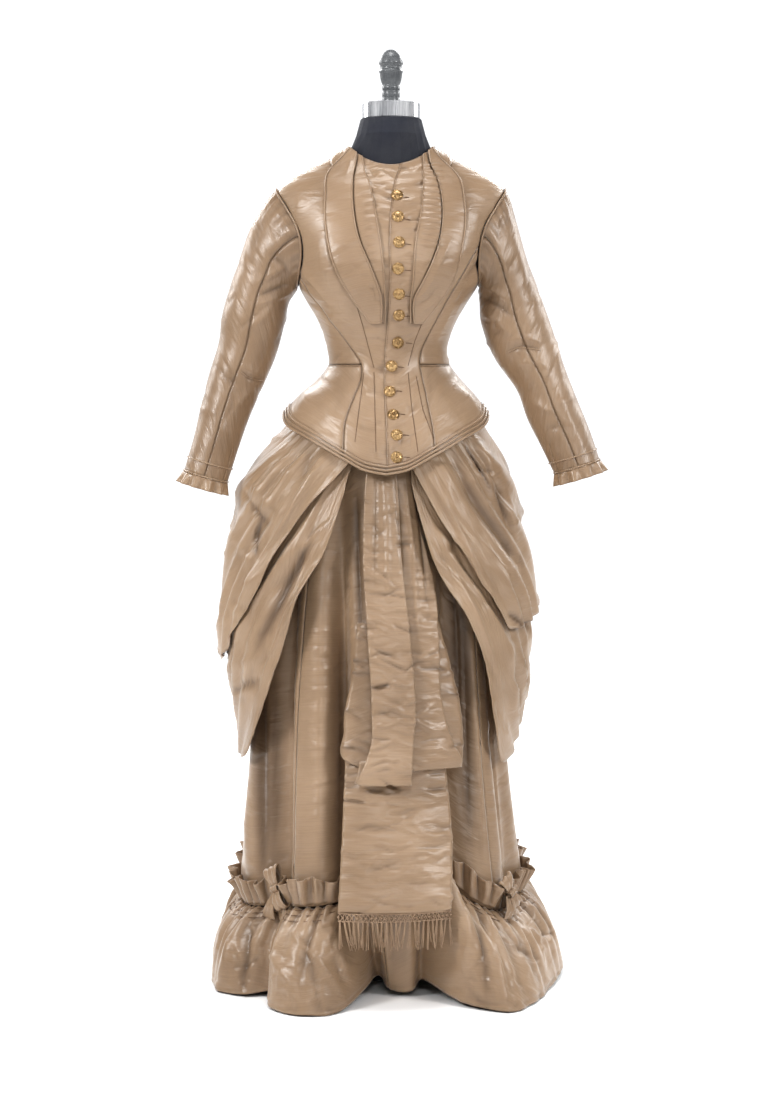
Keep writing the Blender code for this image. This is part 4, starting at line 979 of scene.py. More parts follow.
# The flounce's standing heading, ruffled outside the underskirt
def ruffle(start, end):
    def surface(u, v, out=0.0):
        angle = between(start, end, u)
        height = read(headingLine, "height", angle) + 0.003 + skirtCut["ruffleTall"] * v
        pleat = 1 + np.sin(skirtCut["ruffleWaves"] * np.radians(angle))
        wave = skirtCut["ruffleDeep"] * (0.45 + 0.55 * v) * pleat
        slack = 0.2 * foldDepth(angle, height)
        return skirt(angle, height, out + stuff["wall"] + skirtCut["ruffleLift"] + slack + wave + 0.006 * v)

    return surface


drapeCut = {
    "slant": 0.0050, "pitch": 0.060, "tucked": (105, 125),
    "upperSeat": 0.0026, "upperLift": 0.0095, "upperFold": 0.013, "lowerFlat": 0.0045, "lowerFold": 0.012,
    "backAngle": 128, "backTop": 0.952, "backFoot": 0.500, "backSag": 0.05,
    "backSeat": 0.0062, "backLift": 0.026, "puff": 0.034,
}


# Swags that slant down from the front, 0 in their troughs and 1 on their crests
def tierWave(angle, height):
    along = (height + drapeCut["slant"] * np.abs(angle)) / drapeCut["pitch"]
    drift = 0.35 * np.sin(0.11 * np.abs(angle) + 9 * height)
    drift = drift + 0.2 * np.sin(0.05 * np.abs(angle) - 17 * height)
    soft = (1 + np.sin(2 * math.pi * (along * 0.72 + drift))) / 2
    return between(0.5, soft, 0.55)


drapeSections = [
    Section(0.330, 0.219, 0.222, 0.362, -0.020),
    Section(0.400, 0.221, 0.212, 0.353, -0.020),
    Section(0.450, 0.229, 0.203, 0.344, -0.020),
    Section(0.520, 0.238, 0.192, 0.330, -0.021),
    Section(0.600, 0.240, 0.177, 0.312, -0.020),
    Section(0.660, 0.231, 0.164, 0.300, -0.020),
    Section(0.720, 0.219, 0.151, 0.282, -0.022),
    Section(0.780, 0.205, 0.138, 0.256, -0.022),
    Section(0.820, 0.190, 0.129, 0.232, -0.018),
    Section(0.860, 0.168, 0.118, 0.198, -0.013),
    Section(0.900, 0.145, 0.107, 0.158, -0.008),
    Section(0.930, 0.1275, 0.0995, 0.128, -0.005),
    Section(0.955, 0.1097, 0.0918, 0.1034, -0.003),
]


def drape(angle, height, out=0.0):
    x, y = onSection(drapeSections, angle, height, out)
    return np.stack(np.broadcast_arrays(x, y, height), axis=-1)


Tier = namedtuple("Tier", "angle upper lower")
drapeTiers = {
    -1: [
        Tier(13, 0.835, 0.785),
        Tier(20, 0.800, 0.700),
        Tier(27, 0.770, 0.650),
        Tier(32, 0.745, 0.600),
        Tier(40, 0.695, 0.520),
        Tier(48, 0.635, 0.465),
        Tier(58, 0.580, 0.405),
        Tier(68, 0.540, 0.366),
        Tier(82, 0.515, 0.358),
        Tier(100, 0.510, 0.372),
        Tier(125, 0.560, 0.440),
        Tier(150, 0.640, 0.540),
    ],
    1: [
        Tier(15, 0.820, 0.800),
        Tier(21, 0.780, 0.690),
        Tier(26, 0.740, 0.642),
        Tier(35, 0.680, 0.585),
        Tier(45, 0.615, 0.510),
        Tier(52, 0.575, 0.420),
        Tier(60, 0.570, 0.362),
        Tier(72, 0.580, 0.370),
        Tier(88, 0.595, 0.410),
        Tier(105, 0.590, 0.420),
        Tier(125, 0.600, 0.460),
        Tier(150, 0.650, 0.540),
    ],
}


# One tier of a side drape, from under the basque to its swept lower edge
def sideDrape(side, upper):
    table = drapeTiers[side]
    start, end = table[0].angle, table[-1].angle

    def surface(u, v, out=0.0):
        angle = between(start, end, u)
        cover = read(table, "upper", angle)
        foot = cover if upper else read(table, "lower", angle)
        top = drapeSections[-1].height
        height = between(foot, top, v)
        low = 1 - ease(height, 0.80, 0.925)
        wave = tierWave(angle, height)
        if upper:
            fold = drapeCut["upperFold"] * (1 - 0.8 * ease(angle, *drapeCut["tucked"])) * wave
            stand = between(drapeCut["upperSeat"], drapeCut["upperLift"] + fold, low)
        else:
            deep = between(drapeCut["lowerFlat"], drapeCut["lowerFold"], ease(height, cover, cover - 0.05))
            stand = deep * low * wave
        return drape(side * angle, height, out + stand)

    return surface


# The drape over the bustle, caught up across it in two puffs
def backDrape(u, v, out=0.0):
    angle = between(drapeCut["backAngle"], 360 - drapeCut["backAngle"], u)
    sag = drapeCut["backSag"] * np.cos(np.radians(angle - 180) * 1.8)
    height = between(drapeCut["backFoot"] - sag, drapeCut["backTop"], v)
    low = 1 - ease(height, 0.76, 0.885)
    puff = drapeCut["puff"] * np.abs(np.sin(2 * math.pi * v ** 0.85)) ** 0.8
    stand = drapeCut["backSeat"] + low * (drapeCut["backLift"] - drapeCut["backSeat"] + puff)
    return drape(angle, height, out + stand)


SashRow = namedtuple("SashRow", "along height stand left right")
frontLoop = [
    SashRow(0.00, 0.850, 0.0034, -0.036, 0.006),
    SashRow(0.15, 0.770, 0.0130, -0.042, 0.012),
    SashRow(0.33, 0.670, 0.0210, -0.043, 0.018),
    SashRow(0.52, 0.560, 0.0290, -0.036, 0.030),
    SashRow(0.72, 0.455, 0.0355, -0.030, 0.038),
    SashRow(0.86, 0.392, 0.0385, -0.033, 0.034),
    SashRow(0.94, 0.352, 0.0395, -0.050, 0.032),
    SashRow(0.965, 0.340, 0.0355, -0.057, 0.032),
    SashRow(0.98, 0.350, 0.0312, -0.053, 0.031),
    SashRow(1.00, 0.376, 0.0300, -0.048, 0.031),
]
backLoop = [
    SashRow(0.00, 0.845, 0.0011, -0.010, 0.026),
    SashRow(0.12, 0.740, 0.0080, -0.006, 0.044),
    SashRow(0.25, 0.640, 0.0130, -0.006, 0.068),
    SashRow(0.38, 0.550, 0.0185, -0.002, 0.075),
    SashRow(0.50, 0.470, 0.0230, 0.000, 0.078),
    SashRow(0.60, 0.405, 0.0255, 0.000, 0.094),
    SashRow(0.655, 0.371, 0.0265, -0.006, 0.110),
    SashRow(0.68, 0.360, 0.0225, -0.020, 0.110),
    SashRow(0.705, 0.371, 0.0185, -0.066, 0.112),
    SashRow(0.76, 0.420, 0.0160, -0.073, 0.112),
    SashRow(0.88, 0.505, 0.0125, -0.060, 0.096),
    SashRow(1.00, 0.583, 0.0092, -0.053, 0.074),
]
tailPath = [
    SashRow(0.00, 0.560, 0.0058, -0.050, 0.066),
    SashRow(0.30, 0.440, 0.0092, -0.066, 0.076),
    SashRow(0.60, 0.330, 0.0138, -0.0725, 0.088),
    SashRow(0.80, 0.250, 0.0210, -0.0755, 0.0945),
    SashRow(1.00, 0.150, 0.0345, -0.081, 0.092),
]


# A strip that follows its path down the front of the skirt, the wall growing off the path
def sash(table):
    def surface(u, along, out=0.0):
        left = read(table, "left", along)
        x = between(left, read(table, "right", along), u)
        step = 0.004
        low, high = np.clip(along - step, 0, 1), np.clip(along + step, 0, 1)
        rise = read(table, "height", high) - read(table, "height", low)
        lean = read(table, "stand", high) - read(table, "stand", low)
        length = np.hypot(rise, lean)
        height = read(table, "height", along) + out * lean / length
        stand = read(table, "stand", along) - out * rise / length
        across = (x - read(skirtSections, "shift", height)) / read(skirtSections, "half", height)
        y = -read(skirtSections, "front", height) * np.sqrt(1 - across**2) - stand
        return np.stack([x, y, height], axis=-1)

    return surface


# Creases of the bodice and sleeves, placed in the picture and scattered where it shows many
bodiceCreases = [
    # The first two sink along the revers' outer edges; the darkening of their troughs is painted contact
    # shadow
    Crease(((345, 150), (333, 163), (327, 193), (329, 240), (337, 272), (353, 300), (375, 326)), 2.2, -1.5),
    Crease(((436, 152), (451, 166), (465, 206), (463, 242), (451, 283), (424, 319), (414, 324)), 2.2, -1.5),
    Crease(((281, 189), (272, 205), (268, 222)), 4, 1.6),
    Crease(((303, 190), (296, 215), (298, 240)), 7, 1.8),
    Crease(((327, 205), (330, 252), (338, 276)), 3, -1.6, 0.5),
    Crease(((318, 240), (322, 268), (336, 296)), 4, 1.4),
    Crease(((292, 262), (308, 279), (326, 300)), 3, 1.4, 0.5),
    Crease(((300, 300), (318, 305), (333, 316)), 2.5, -0.9),
    Crease(((300, 288), (318, 296), (334, 306)), 2.5, 0.9),
    Crease(((489, 240), (478, 262), (462, 282)), 3.5, -2.0, 0.5),
    Crease(((493, 252), (484, 272), (468, 290)), 4.5, 2.0),
    Crease(((478, 210), (474, 236), (462, 262)), 6, 1.6),
    Crease(((488, 200), (496, 218), (497, 238)), 3, 1.3),
    Crease(((455, 300), (447, 318), (436, 340)), 3, 1.0),
    Crease(((341, 350), (337, 358), (334, 364)), 2, -1.0),
    Crease(((300, 382), (306, 396), (300, 410)), 5, 1.6),
    Crease(((318, 392), (330, 412), (338, 432)), 9, 1.2),
    Crease(((345, 385), (336, 410), (330, 438)), 6, -0.8),
    Crease(((440, 392), (450, 412), (462, 424)), 9, 1.1),
    Crease(((430, 385), (428, 410), (434, 436)), 5, -0.8),
    Crease(((464, 390), (474, 404), (480, 410)), 5, 1.2),
    Crease(((362, 340), (376, 337), (390, 344)), 1.8, -1.1, 0.5),
    Crease(((364, 328), (378, 330), (390, 327)), 1.8, -0.9, 0.5),
    Crease(((366, 318), (378, 321), (388, 318)), 1.6, 0.9),
    Crease(((404, 330), (414, 333), (424, 330)), 1.8, 0.9),
    Crease(((366, 352), (378, 354), (388, 350)), 1.6, 0.9),
    *scatter(11, 44, (362, 168, 394, 300), 20, (8, 14), 1.7, 1.9),
    *scatter(12, 34, (400, 168, 424, 320), 17, (-6, 14), 1.7, 1.7),
    *scatter(13, 34, (362, 312, 388, 455), 17, (4, 12), 1.6, 1.4),
    *scatter(14, 22, (392, 380, 416, 460), 15, (-4, 10), 1.5, 1.1),
    *scatter(15, 40, (285, 190, 500, 440), 36, (60, 60), 3.4, 0.8),
]
bodiceHidden = scatter(16, 90, (0, 135, 782, 420), 34, (40, 60), 3.2, 1.0)
reversCreases = [
    *[Crease(((419 + 0.06 * (245 - y), y), (442, y + 2.2)), 1.6, 2.3, 0.6) for y in range(166, 247, 6)],
    *[Crease(((358 + 0.1 * (y - 160), y), (376, y - 2)), 1.6, 1.6, 0.6) for y in range(196, 262, 8)],
    Crease(((335, 250), (345, 246), (356, 242)), 2.2, 1.2),
    Crease(((346, 178), (350, 168), (352, 160)), 2.5, 0.9),
    Crease(((413, 300), (424, 292), (431, 281)), 1.8, 1.1, 0.5),
    Crease(((415, 306), (428, 297), (437, 286)), 1.8, -1.0, 0.5),
    Crease(((419, 312), (432, 303), (442, 290)), 1.8, 1.0, 0.5),
    Crease(((450, 240), (440, 262), (432, 278)), 2.4, 0.9),
    *scatter(21, 20, (340, 250, 384, 318), 14, (35, 25), 1.6, 0.7),
    *scatter(22, 18, (412, 250, 456, 318), 14, (-40, 20), 1.6, 0.8),
]
sleeveCreases = [
    Crease(((259, 284), (272, 275), (286, 266)), 3.5, 3.2, 0.6),
    Crease(((258, 296), (274, 290), (289, 283)), 3.0, -2.4, 0.6),
    Crease(((255, 306), (272, 300), (288, 294)), 3.0, 2.2, 0.5),
    Crease(((268, 252), (280, 262), (289, 272)), 3.0, -2.4, 0.6),
    Crease(((250, 330), (264, 316), (276, 300)), 4.0, 2.2),
    Crease(((241, 372), (251, 379), (263, 381)), 2.2, -2.6, 0.5),
    Crease(((240, 366), (251, 372), (264, 374)), 2.4, 1.6),
    Crease(((233, 410), (246, 396), (256, 386)), 4.0, 1.8),
    Crease(((215, 400), (219, 430), (212, 460)), 5.0, 1.6),
    Crease(((250, 215), (240, 240), (236, 268)), 6.0, 1.8),
    Crease(((262, 215), (258, 232), (252, 252)), 3.5, -1.2),
    Crease(((483, 284), (496, 292), (508, 303)), 3.2, 2.8, 0.6),
    Crease(((481, 296), (498, 306), (514, 318)), 3.0, -2.2, 0.6),
    Crease(((482, 312), (498, 322), (512, 336)), 3.4, 2.2, 0.6),
    Crease(((493, 250), (503, 262), (506, 280)), 2.6, 2.0, 0.6),
    Crease(((512, 235), (520, 258), (524, 284)), 6.0, 1.6),
    Crease(((508, 352), (524, 346), (540, 350)), 3.0, -2.4, 0.6),
    Crease(((505, 344), (522, 338), (540, 342)), 3.0, 2.2, 0.6),
    Crease(((514, 366), (532, 362), (548, 366)), 3.0, 1.8),
    Crease(((530, 400), (546, 410), (560, 412)), 3.2, 1.6),
    Crease(((545, 430), (560, 425), (574, 430)), 3.0, -1.5),
    Crease(((560, 395), (572, 425), (585, 452)), 5.0, 1.4),
    *scatter(31, 40, (185, 215, 290, 480), 26, (58, 40), 2.8, 1.3),
    *scatter(32, 40, (480, 215, 600, 480), 26, (-58, 40), 2.8, 1.3),
]
sleeveHidden = scatter(33, 60, (0, 200, 782, 480), 30, (0, 50), 3.2, 1.6)


def steps(count, start=0.0, end=1.0):
    return np.linspace(start, end, count + 1)


marks = {-1: "R", 1: "L"}


# The sleeve's head is set down into the armhole, with a little fullness eased in above
def eased(u, v, points):
    full = 0.0012 * np.sin(26 * math.pi * u) * np.exp(-((v - 0.05) / 0.03) ** 2)
    return full - 0.0021 * np.exp(-((v / 0.045) ** 2))


levelsAbove = len(bodiceLevels) - 1
waistRows = bodiceCut["waistRows"]
shells = {}
for side, mark in marks.items():
    shells["front" + mark] = layCloth(
        f"silk_front_{mark}", front(side), steps(64), steps(128, 0, waistRows + levelsAbove), silk,
        f"front_{mark}", bodiceCreases, seams=("left", "right", "high"), hidden=bodiceHidden)
    shells["back" + mark] = layCloth(
        f"silk_back_{mark}", back(side), steps(44), steps(84, 0, levelsAbove), silk,
        f"back_{mark}", (), bodiceHidden, seams=("left", "right", "low", "high"))
    for word, facing, columns in (("front", 1, 30), ("back", -1, 38)):
        shells[f"side_{word}{mark}"] = layCloth(
            f"silk_side_{word}_{mark}", sidePanel(facing, side), steps(columns), steps(58), silk,
            f"side_{word}_{mark}", bodiceCreases, bodiceHidden, seams=("left", "right", "low", "high"))
    for word, facing, columns in (("side", 1, 60), ("back", -1, 40)):
        shells[f"basque_{word}{mark}"] = layCloth(
            f"silk_basque_{word}_{mark}", basque(facing, side), steps(columns), steps(34), silk,
            f"basque_{word}_{mark}", bodiceCreases, bodiceHidden, seams=("left", "right", "high"))
    # On the revers, the darkening along their edges is painted contact shadow where they lie on the fronts
    for word, inside, columns in (("outer", False, 26), ("inner", True, 18)):
        shells[f"revers_{word}{mark}"] = layCloth(
            f"silk_revers_{word}_{mark}", revers(side, inside), steps(columns),
            steps(120, 0, len(bodiceLevels) - reversCut["start"] - 1), trimSilk,
            f"revers_{word}_{mark}", reversCreases, lift=0.0005 if inside else 0.0036,
            thick=0.0014, seams=("left", "right", "low"), dip=0.0002)
    for word, start, end in (("upper", -90, 90), ("under", 90, 270)):
        shells[f"sleeve_{word}{mark}"] = layCloth(
            f"silk_sleeve_{word}_{mark}", sleeve(side, start + 0.4, end - 0.4), steps(42), steps(108),
            sleeveSilk, f"sleeve_{word}_{mark}", sleeveCreases, sleeveHidden, seams=("left", "right"),
            shape=eased)
    shells["frill" + mark] = layCloth(
        f"silk_cuff_frill_{mark}", cuffFrill(side), steps(220), steps(8), trimSilk,
        f"cuff_frill_{mark}", scatter(40 + side, 24, (176, 460, 610, 505), 9, (80, 20), 1.3, 0.8),
        ring=True)
shells["collar"] = layCloth("silk_collar", collar, steps(110), steps(10, 0, 2), trimSilk, "collar",
                            hidden=scatter(45, 30, (0, 120, 782, 190), 12, (90, 30), 2.0, 0.7))
print("bodice and sleeves laid:", len(shells), "pieces")


# The underskirt hangs in long folds, and carries few creases of its own
skirtCreases = [
    Crease(((326, 607), (337, 609), (348, 606)), 1.8, -1.8, 0.5),
    Crease(((321, 660), (327, 661), (333, 660)), 1.4, -1.2, 0.5),
    Crease(((344, 590), (349, 586), (353, 582)), 1.6, -1.2, 0.5),
    Crease(((300, 600), (296, 700), (293, 860)), 3.5, 2.6, 0.5),
    Crease(((318, 560), (322, 700), (318, 860)), 16, 4.0),
    Crease(((340, 620), (342, 740), (340, 880)), 6, -3.5),
    Crease(((262, 690), (260, 780), (262, 880)), 6, -5.0),
    Crease(((247, 755), (247, 820), (250, 885)), 4, 3.5),
    Crease(((273, 640), (276, 760), (275, 880)), 9, -3.0),
    Crease(((356, 490), (358, 560), (362, 640)), 5, -4.0),
    Crease(((472, 630), (476, 740), (482, 860)), 4, 3.0, 0.5),
    Crease(((488, 690), (492, 780), (500, 880)), 6, 3.5),
    Crease(((463, 590), (466, 700), (468, 840)), 8, -4.5),
    Crease(((452, 570), (456, 640), (458, 760)), 5, -4.0),
    Crease(((478, 680), (490, 683), (500, 686)), 1.8, -1.6, 0.5),
    Crease(((470, 700), (480, 704), (490, 712)), 1.8, 1.3, 0.5),
    Crease(((476, 740), (484, 745), (492, 752)), 1.8, -1.2, 0.5),
    *scatter(51, 46, (240, 560, 350, 900), 20, (4, 10), 1.8, 1.0),
    *scatter(52, 40, (440, 560, 520, 880), 18, (8, 14), 1.8, 1.1),
]
skirtHidden = scatter(53, 120, (-20, 400, 802, 880), 30, (6, 25), 2.6, 1.2)
for word, start, end, columns, rows in (("front", -37, 50, 120, 110), ("side_R", -128, -37, 60, 76),
                                        ("side_L", 50, 128, 54, 76), ("back", 128, 232, 66, 66)):
    layCloth(f"silk_underskirt_{word}", underskirt(start + 0.08, end - 0.08), steps(columns), steps(rows),
             silk, f"underskirt_{word}", skirtCreases, skirtHidden, press=1.9)


# Gathers under the shirring, uneven from one to the next and running out down the flounce
def gathered(u, v, points):
    x, y = inPicture(points)
    turn = np.arctan2(points[..., 0], -points[..., 1])
    uneven = np.sin(7.3 * turn + 1.1) + 0.6 * np.sin(17.9 * turn + 2.0)
    close = np.sin(96 * turn + 2.2 * uneven) * np.exp(-5.0 * v)
    wide = np.sin(41 * turn + 2.6 * uneven) * np.exp(-2.2 * v) * np.clip(6 * v, 0, 1)
    rows = sum(np.exp(-(((v - at) / 0.012) ** 2)) for at in (0.012, 0.065, 0.118))
    bound = np.exp(-(((v - 0.952) / 0.010) ** 2))
    return 0.0026 * close + 0.0052 * wide - 0.0016 * rows - 0.0010 * bound


flounceCreases = [
    Crease(((288, 928), (318, 962), (348, 1002)), 4, 4.0, 0.5),
    Crease(((300, 926), (312, 966), (318, 1016)), 5, -3.0),
    Crease(((276, 926), (278, 970), (272, 1012)), 5, 3.0),
    Crease(((330, 926), (340, 955), (352, 990)), 4, 3.0, 0.6),
    Crease(((232, 924), (226, 960), (216, 996)), 5, 3.2),
    Crease(((250, 926), (248, 962), (238, 1004)), 4, -3.0),
    Crease(((262, 940), (292, 985), (300, 1015)), 4, 2.4),
    Crease(((466, 900), (470, 940), (462, 975)), 4, 3.0),
    Crease(((484, 912), (496, 955), (508, 1010)), 5, 3.6, 0.6),
    Crease(((497, 918), (520, 950), (545, 962)), 4, -3.0),
    Crease(((476, 905), (484, 950), (486, 1000)), 4, -2.8),
    Crease(((506, 920), (532, 936), (556, 946)), 4, 2.8),
    *scatter(61, 60, (208, 925, 360, 1015), 26, (70, 30), 2.2, 1.4),
    *scatter(62, 50, (455, 900, 560, 1010), 24, (60, 35), 2.2, 1.4),
]
flounceHidden = scatter(63, 130, (-20, 890, 802, 975), 26, (80, 22), 2.4, 1.5)
for word, start, end, columns, rows in (("R", -128, -1, 230, 44), ("L", -1, 128, 230, 44),
                                        ("back", 128, 232, 170, 30)):
    layCloth(f"silk_flounce_{word}", flounce(start + 0.08, end - 0.08), steps(columns), steps(rows), silk,
             f"flounce_{word}", flounceCreases, flounceHidden, shape=gathered, press=1.6)


# The heading's ruffle leans and closes up unevenly
def ruffled(u, v, points):
    turn = np.arctan2(points[..., 0], -points[..., 1])
    small = np.sin(84 * turn + 3 * np.sin(5 * turn)) * (0.2 + 0.8 * v)
    tiny = np.sin(171 * turn + 4 * np.sin(9 * turn))
    return 0.0062 * small + 0.0018 * tiny * v - 0.0012 * (1 - v) ** 2 + 0.003 * v * v


# Its top edge rises and falls, and tips over in places
def frilled(start, end):
    upright = ruffle(start, end)

    def surface(u, v, out=0.0):
        points = upright(u, v, out)
        turn = np.arctan2(points[..., 0], -points[..., 1])
        rise = 0.0042 * np.sin(21 * turn + 1) + 0.0030 * np.sin(47 * turn + 2 * np.sin(6 * turn))
        return points + (v ** 1.5 * rise)[..., None] * np.array([0.0, 0.0, 1.0])

    return surface


for mark, start, end in (("R", -180, 0), ("L", 0, 180)):
    layCloth(f"silk_ruffle_{mark}", frilled(start + 0.2, end - 0.2), steps(420), steps(14), trimSilk,
             f"ruffle_{mark}", scatter(64, 60, (205, 840, 525, 920), 16, (85, 15), 1.8, 1.6),
             shape=ruffled)
print("underskirt and flounce laid")


# Overskirt: the swags that the picture shows, then softer ones round the sides and back
drapeCreases = [
    Crease(((322, 447), (321, 459), (310, 478), (294, 504), (279, 530), (265, 555), (250, 585),
            (230, 620)), 6, 4.5, 0.4),
    Crease(((348, 457), (334, 477), (318, 505), (301, 537), (288, 556), (268, 584), (250, 612),
            (238, 640), (226, 690)), 9, 6.0, 0.5),
    Crease(((338, 470), (322, 505), (306, 545), (290, 580), (272, 615), (252, 655)), 6, -4.5),
    Crease(((354, 488), (346, 526), (330, 550), (312, 573), (299, 596), (284, 622), (270, 660),
            (258, 700), (248, 735)), 4.5, 3.2, 0.6),
    Crease(((352, 458), (350, 485), (343, 520)), 7, 3.4),
    Crease(((339, 521), (321, 528), (297, 552)), 2.6, 3.0, 0.5),
    Crease(((297, 552), (303, 560), (296, 578)), 2.2, -2.6),
    Crease(((305, 562), (299, 580), (288, 600)), 3.0, 2.4),
    Crease(((262, 519), (255, 537), (256, 556)), 4.0, -4.0, 0.5),
    Crease(((243, 490), (258, 514), (270, 526)), 3.4, -3.2, 0.5),
    Crease(((252, 480), (268, 505), (282, 515)), 4.0, 2.6),
    Crease(((240, 540), (252, 565), (250, 590)), 4.5, 2.8),
    Crease(((232, 600), (246, 610), (256, 604)), 3.0, -2.4),
    Crease(((229, 640), (240, 632), (252, 622)), 3.0, 2.6, 0.5),
    Crease(((230, 693), (245, 686), (262, 680)), 3.0, -3.0, 0.5),
    Crease(((228, 670), (246, 662), (268, 656)), 3.4, 3.0, 0.5),
    Crease(((258, 658), (268, 659), (277, 657)), 2.0, -2.6),
    Crease(((300, 470), (290, 490), (276, 508)), 8, 3.0),
    Crease(((286, 450), (262, 480), (246, 510)), 7, 3.0),
    Crease(((311, 455), (301, 480), (286, 505)), 5, -2.2),
    Crease(((422, 468), (437, 492), (456, 530), (472, 562), (488, 588), (502, 610)), 4, 3.6, 0.4),
    Crease(((441, 459), (452, 504), (474, 537), (500, 566), (522, 596), (532, 612)), 10, 5.5),
    Crease(((452, 455), (472, 500), (498, 535), (520, 568)), 7, -2.6),
    Crease(((433, 556), (443, 568), (459, 584), (474, 611), (484, 636), (496, 668), (504, 716)), 4, 3.6),
    Crease(((440, 540), (458, 566), (477, 592), (492, 616), (505, 646), (516, 680), (518, 716)),
           7, 5.0, 0.5),
    Crease(((449, 548), (470, 578), (488, 604), (500, 632)), 4, -3.2),
    Crease(((456, 534), (452, 546), (447, 557)), 2.0, -2.2),
    Crease(((436, 528), (444, 540), (452, 550)), 3.0, 2.2),
    Crease(((478, 600), (486, 604), (494, 602)), 2.0, -1.8),
    Crease(((463, 441), (478, 466), (492, 490)), 3.0, -5.0, 0.5),
    Crease(((468, 438), (486, 460), (500, 492)), 5.0, 4.0, 0.6),
    Crease(((474, 466), (488, 471), (502, 474)), 2.2, -2.6, 0.5),
    Crease(((494, 480), (502, 505), (508, 525)), 4.0, -4.5, 0.6),
    Crease(((505, 490), (512, 515), (516, 540)), 4.0, 3.4),
    Crease(((506, 520), (512, 524), (518, 518)), 2.0, 2.0),
    Crease(((506, 612), (520, 622), (533, 630)), 4.0, -4.0, 0.6),
    Crease(((508, 640), (522, 664), (528, 700)), 6.0, 3.4),
    Crease(((500, 660), (512, 690), (514, 730)), 4.0, 2.8),
    *scatter(71, 70, (222, 470, 345, 745), 20, (125, 40), 2.4, 1.3),
    *scatter(72, 70, (430, 455, 534, 755), 20, (55, 40), 2.4, 1.3),
]
drapeHidden = [
    *[Crease(((x - 70, y + 12), (x, y - 6 + 0.1 * x % 9), (x + 75, y + 16)), 11, deep, 0.5)
      for x, y, deep in ((120, 520, 6), (96, 570, -5), (130, 610, 6), (100, 660, 5), (140, 480, 4),
                         (640, 510, 5), (672, 560, -5), (650, 600, 6), (690, 650, 5), (640, 690, 4),
                         (20, 500, 7), (30, 560, -5), (24, 610, 7), (762, 520, 7), (748, 580, -6),
                         (760, 640, 6), (16, 700, 5), (100, 715, 4))],
    *scatter(73, 150, (-20, 400, 802, 760), 46, (12, 40), 4.0, 2.4),
]
for side, mark in marks.items():
    for word, upper in (("lower", False), ("upper", True)):
        shells[f"drape_{word}{mark}"] = layCloth(
            f"silk_drape_{word}_{mark}", sideDrape(side, upper), steps(124), steps(78), silk,
            f"drape_{word}_{mark}", drapeCreases, drapeHidden, seams=("high",), press=1.9)
shells["drapeBack"] = layCloth("silk_drape_back", backDrape, steps(92), steps(82), silk, "drape_back",
                               hidden=drapeHidden, seams=("high",), press=1.8)
print("overskirt draped")


# Sash: two flat loops and the fringed tail, crumpled across by years of folding
sashCreases = [
    Crease(((352, 565), (372, 574), (395, 588)), 2.0, 2.2, 0.5),
    Crease(((366, 562), (384, 576), (400, 590)), 2.0, -1.8, 0.5),
    Crease(((366, 700), (392, 708), (416, 702)), 2.2, 2.0, 0.5),
    Crease(((366, 718), (390, 712), (416, 720)), 2.0, -1.8, 0.5),
    Crease(((368, 752), (392, 742), (414, 748)), 2.2, 2.2, 0.5),
    Crease(((358, 776), (384, 768), (412, 772)), 2.4, 2.0, 0.5),
    Crease(((418, 660), (430, 652), (440, 650)), 2.0, 1.8, 0.5),
    Crease(((376, 470), (375, 520), (374, 585)), 2.6, -2.2, 0.5),
    Crease(((384, 470), (387, 525), (388, 600)), 3.0, 2.4, 0.5),
    Crease(((393, 470), (398, 520), (402, 575)), 2.2, -2.0, 0.5),
    Crease(((410, 470), (420, 530), (428, 610)), 2.6, -2.4, 0.5),
    Crease(((404, 470), (412, 540), (418, 640)), 2.8, 2.2, 0.5),
    Crease(((418, 724), (436, 730), (450, 728)), 2.0, 1.8, 0.5),
    Crease(((420, 752), (440, 748), (458, 756)), 2.2, 2.0, 0.5),
    *scatter(81, 130, (345, 545, 465, 790), 34, (4, 16), 1.9, 2.3),
    *scatter(82, 80, (336, 790, 456, 915), 40, (2, 12), 1.9, 1.9),
    *scatter(83, 26, (352, 470, 440, 560), 26, (12, 30), 2.2, 1.1),
]
for word, table, columns, rows, look, slot in (
        ("loop_front", frontLoop, 24, 210, silk, "silk"),
        ("loop_back", backLoop, 30, 220, trimSilk, "silk_edge"),
        ("tail", tailPath, 44, 140, silk, "silk")):
    shells["sash" + word] = layCloth(
        f"silk_sash_{word}", sash(table), steps(columns), steps(rows, 0, table[-1].along), look,
        f"sash_{word}", sashCreases, thick=0.0008)
print("sash hung")


# Where a point of the picture lies on a piece, standing off it a little
def pinned(piece, path, out=0.0004):
    graph = bpy.context.evaluated_depsgraph_get()
    cover = piece.evaluated_get(graph)
    lean = math.radians(camera["pitch"])
    eye = Vector(camera["place"])
    found = []
    for x, y in path:
        right = (x - camera["middle"][0]) / camera["focal"]
        up = (camera["middle"][1] - y) / camera["focal"]
        way = Vector((right, math.cos(lean) + up * math.sin(lean), -math.sin(lean) + up * math.cos(lean)))
        hit, place, facing, _ = cover.ray_cast(eye, way)
        if hit:
            found.append(place + out * facing)
    return found


# Even steps along a line drawn in the picture
def along(points, count):
    path = np.array(points, float)
    run = np.concatenate([[0], np.cumsum(np.hypot(*np.diff(path, axis=0).T))])
    at = np.linspace(0, run[-1], count)
    return np.stack([np.interp(at, run, path[:, k]) for k in (0, 1)], axis=-1)


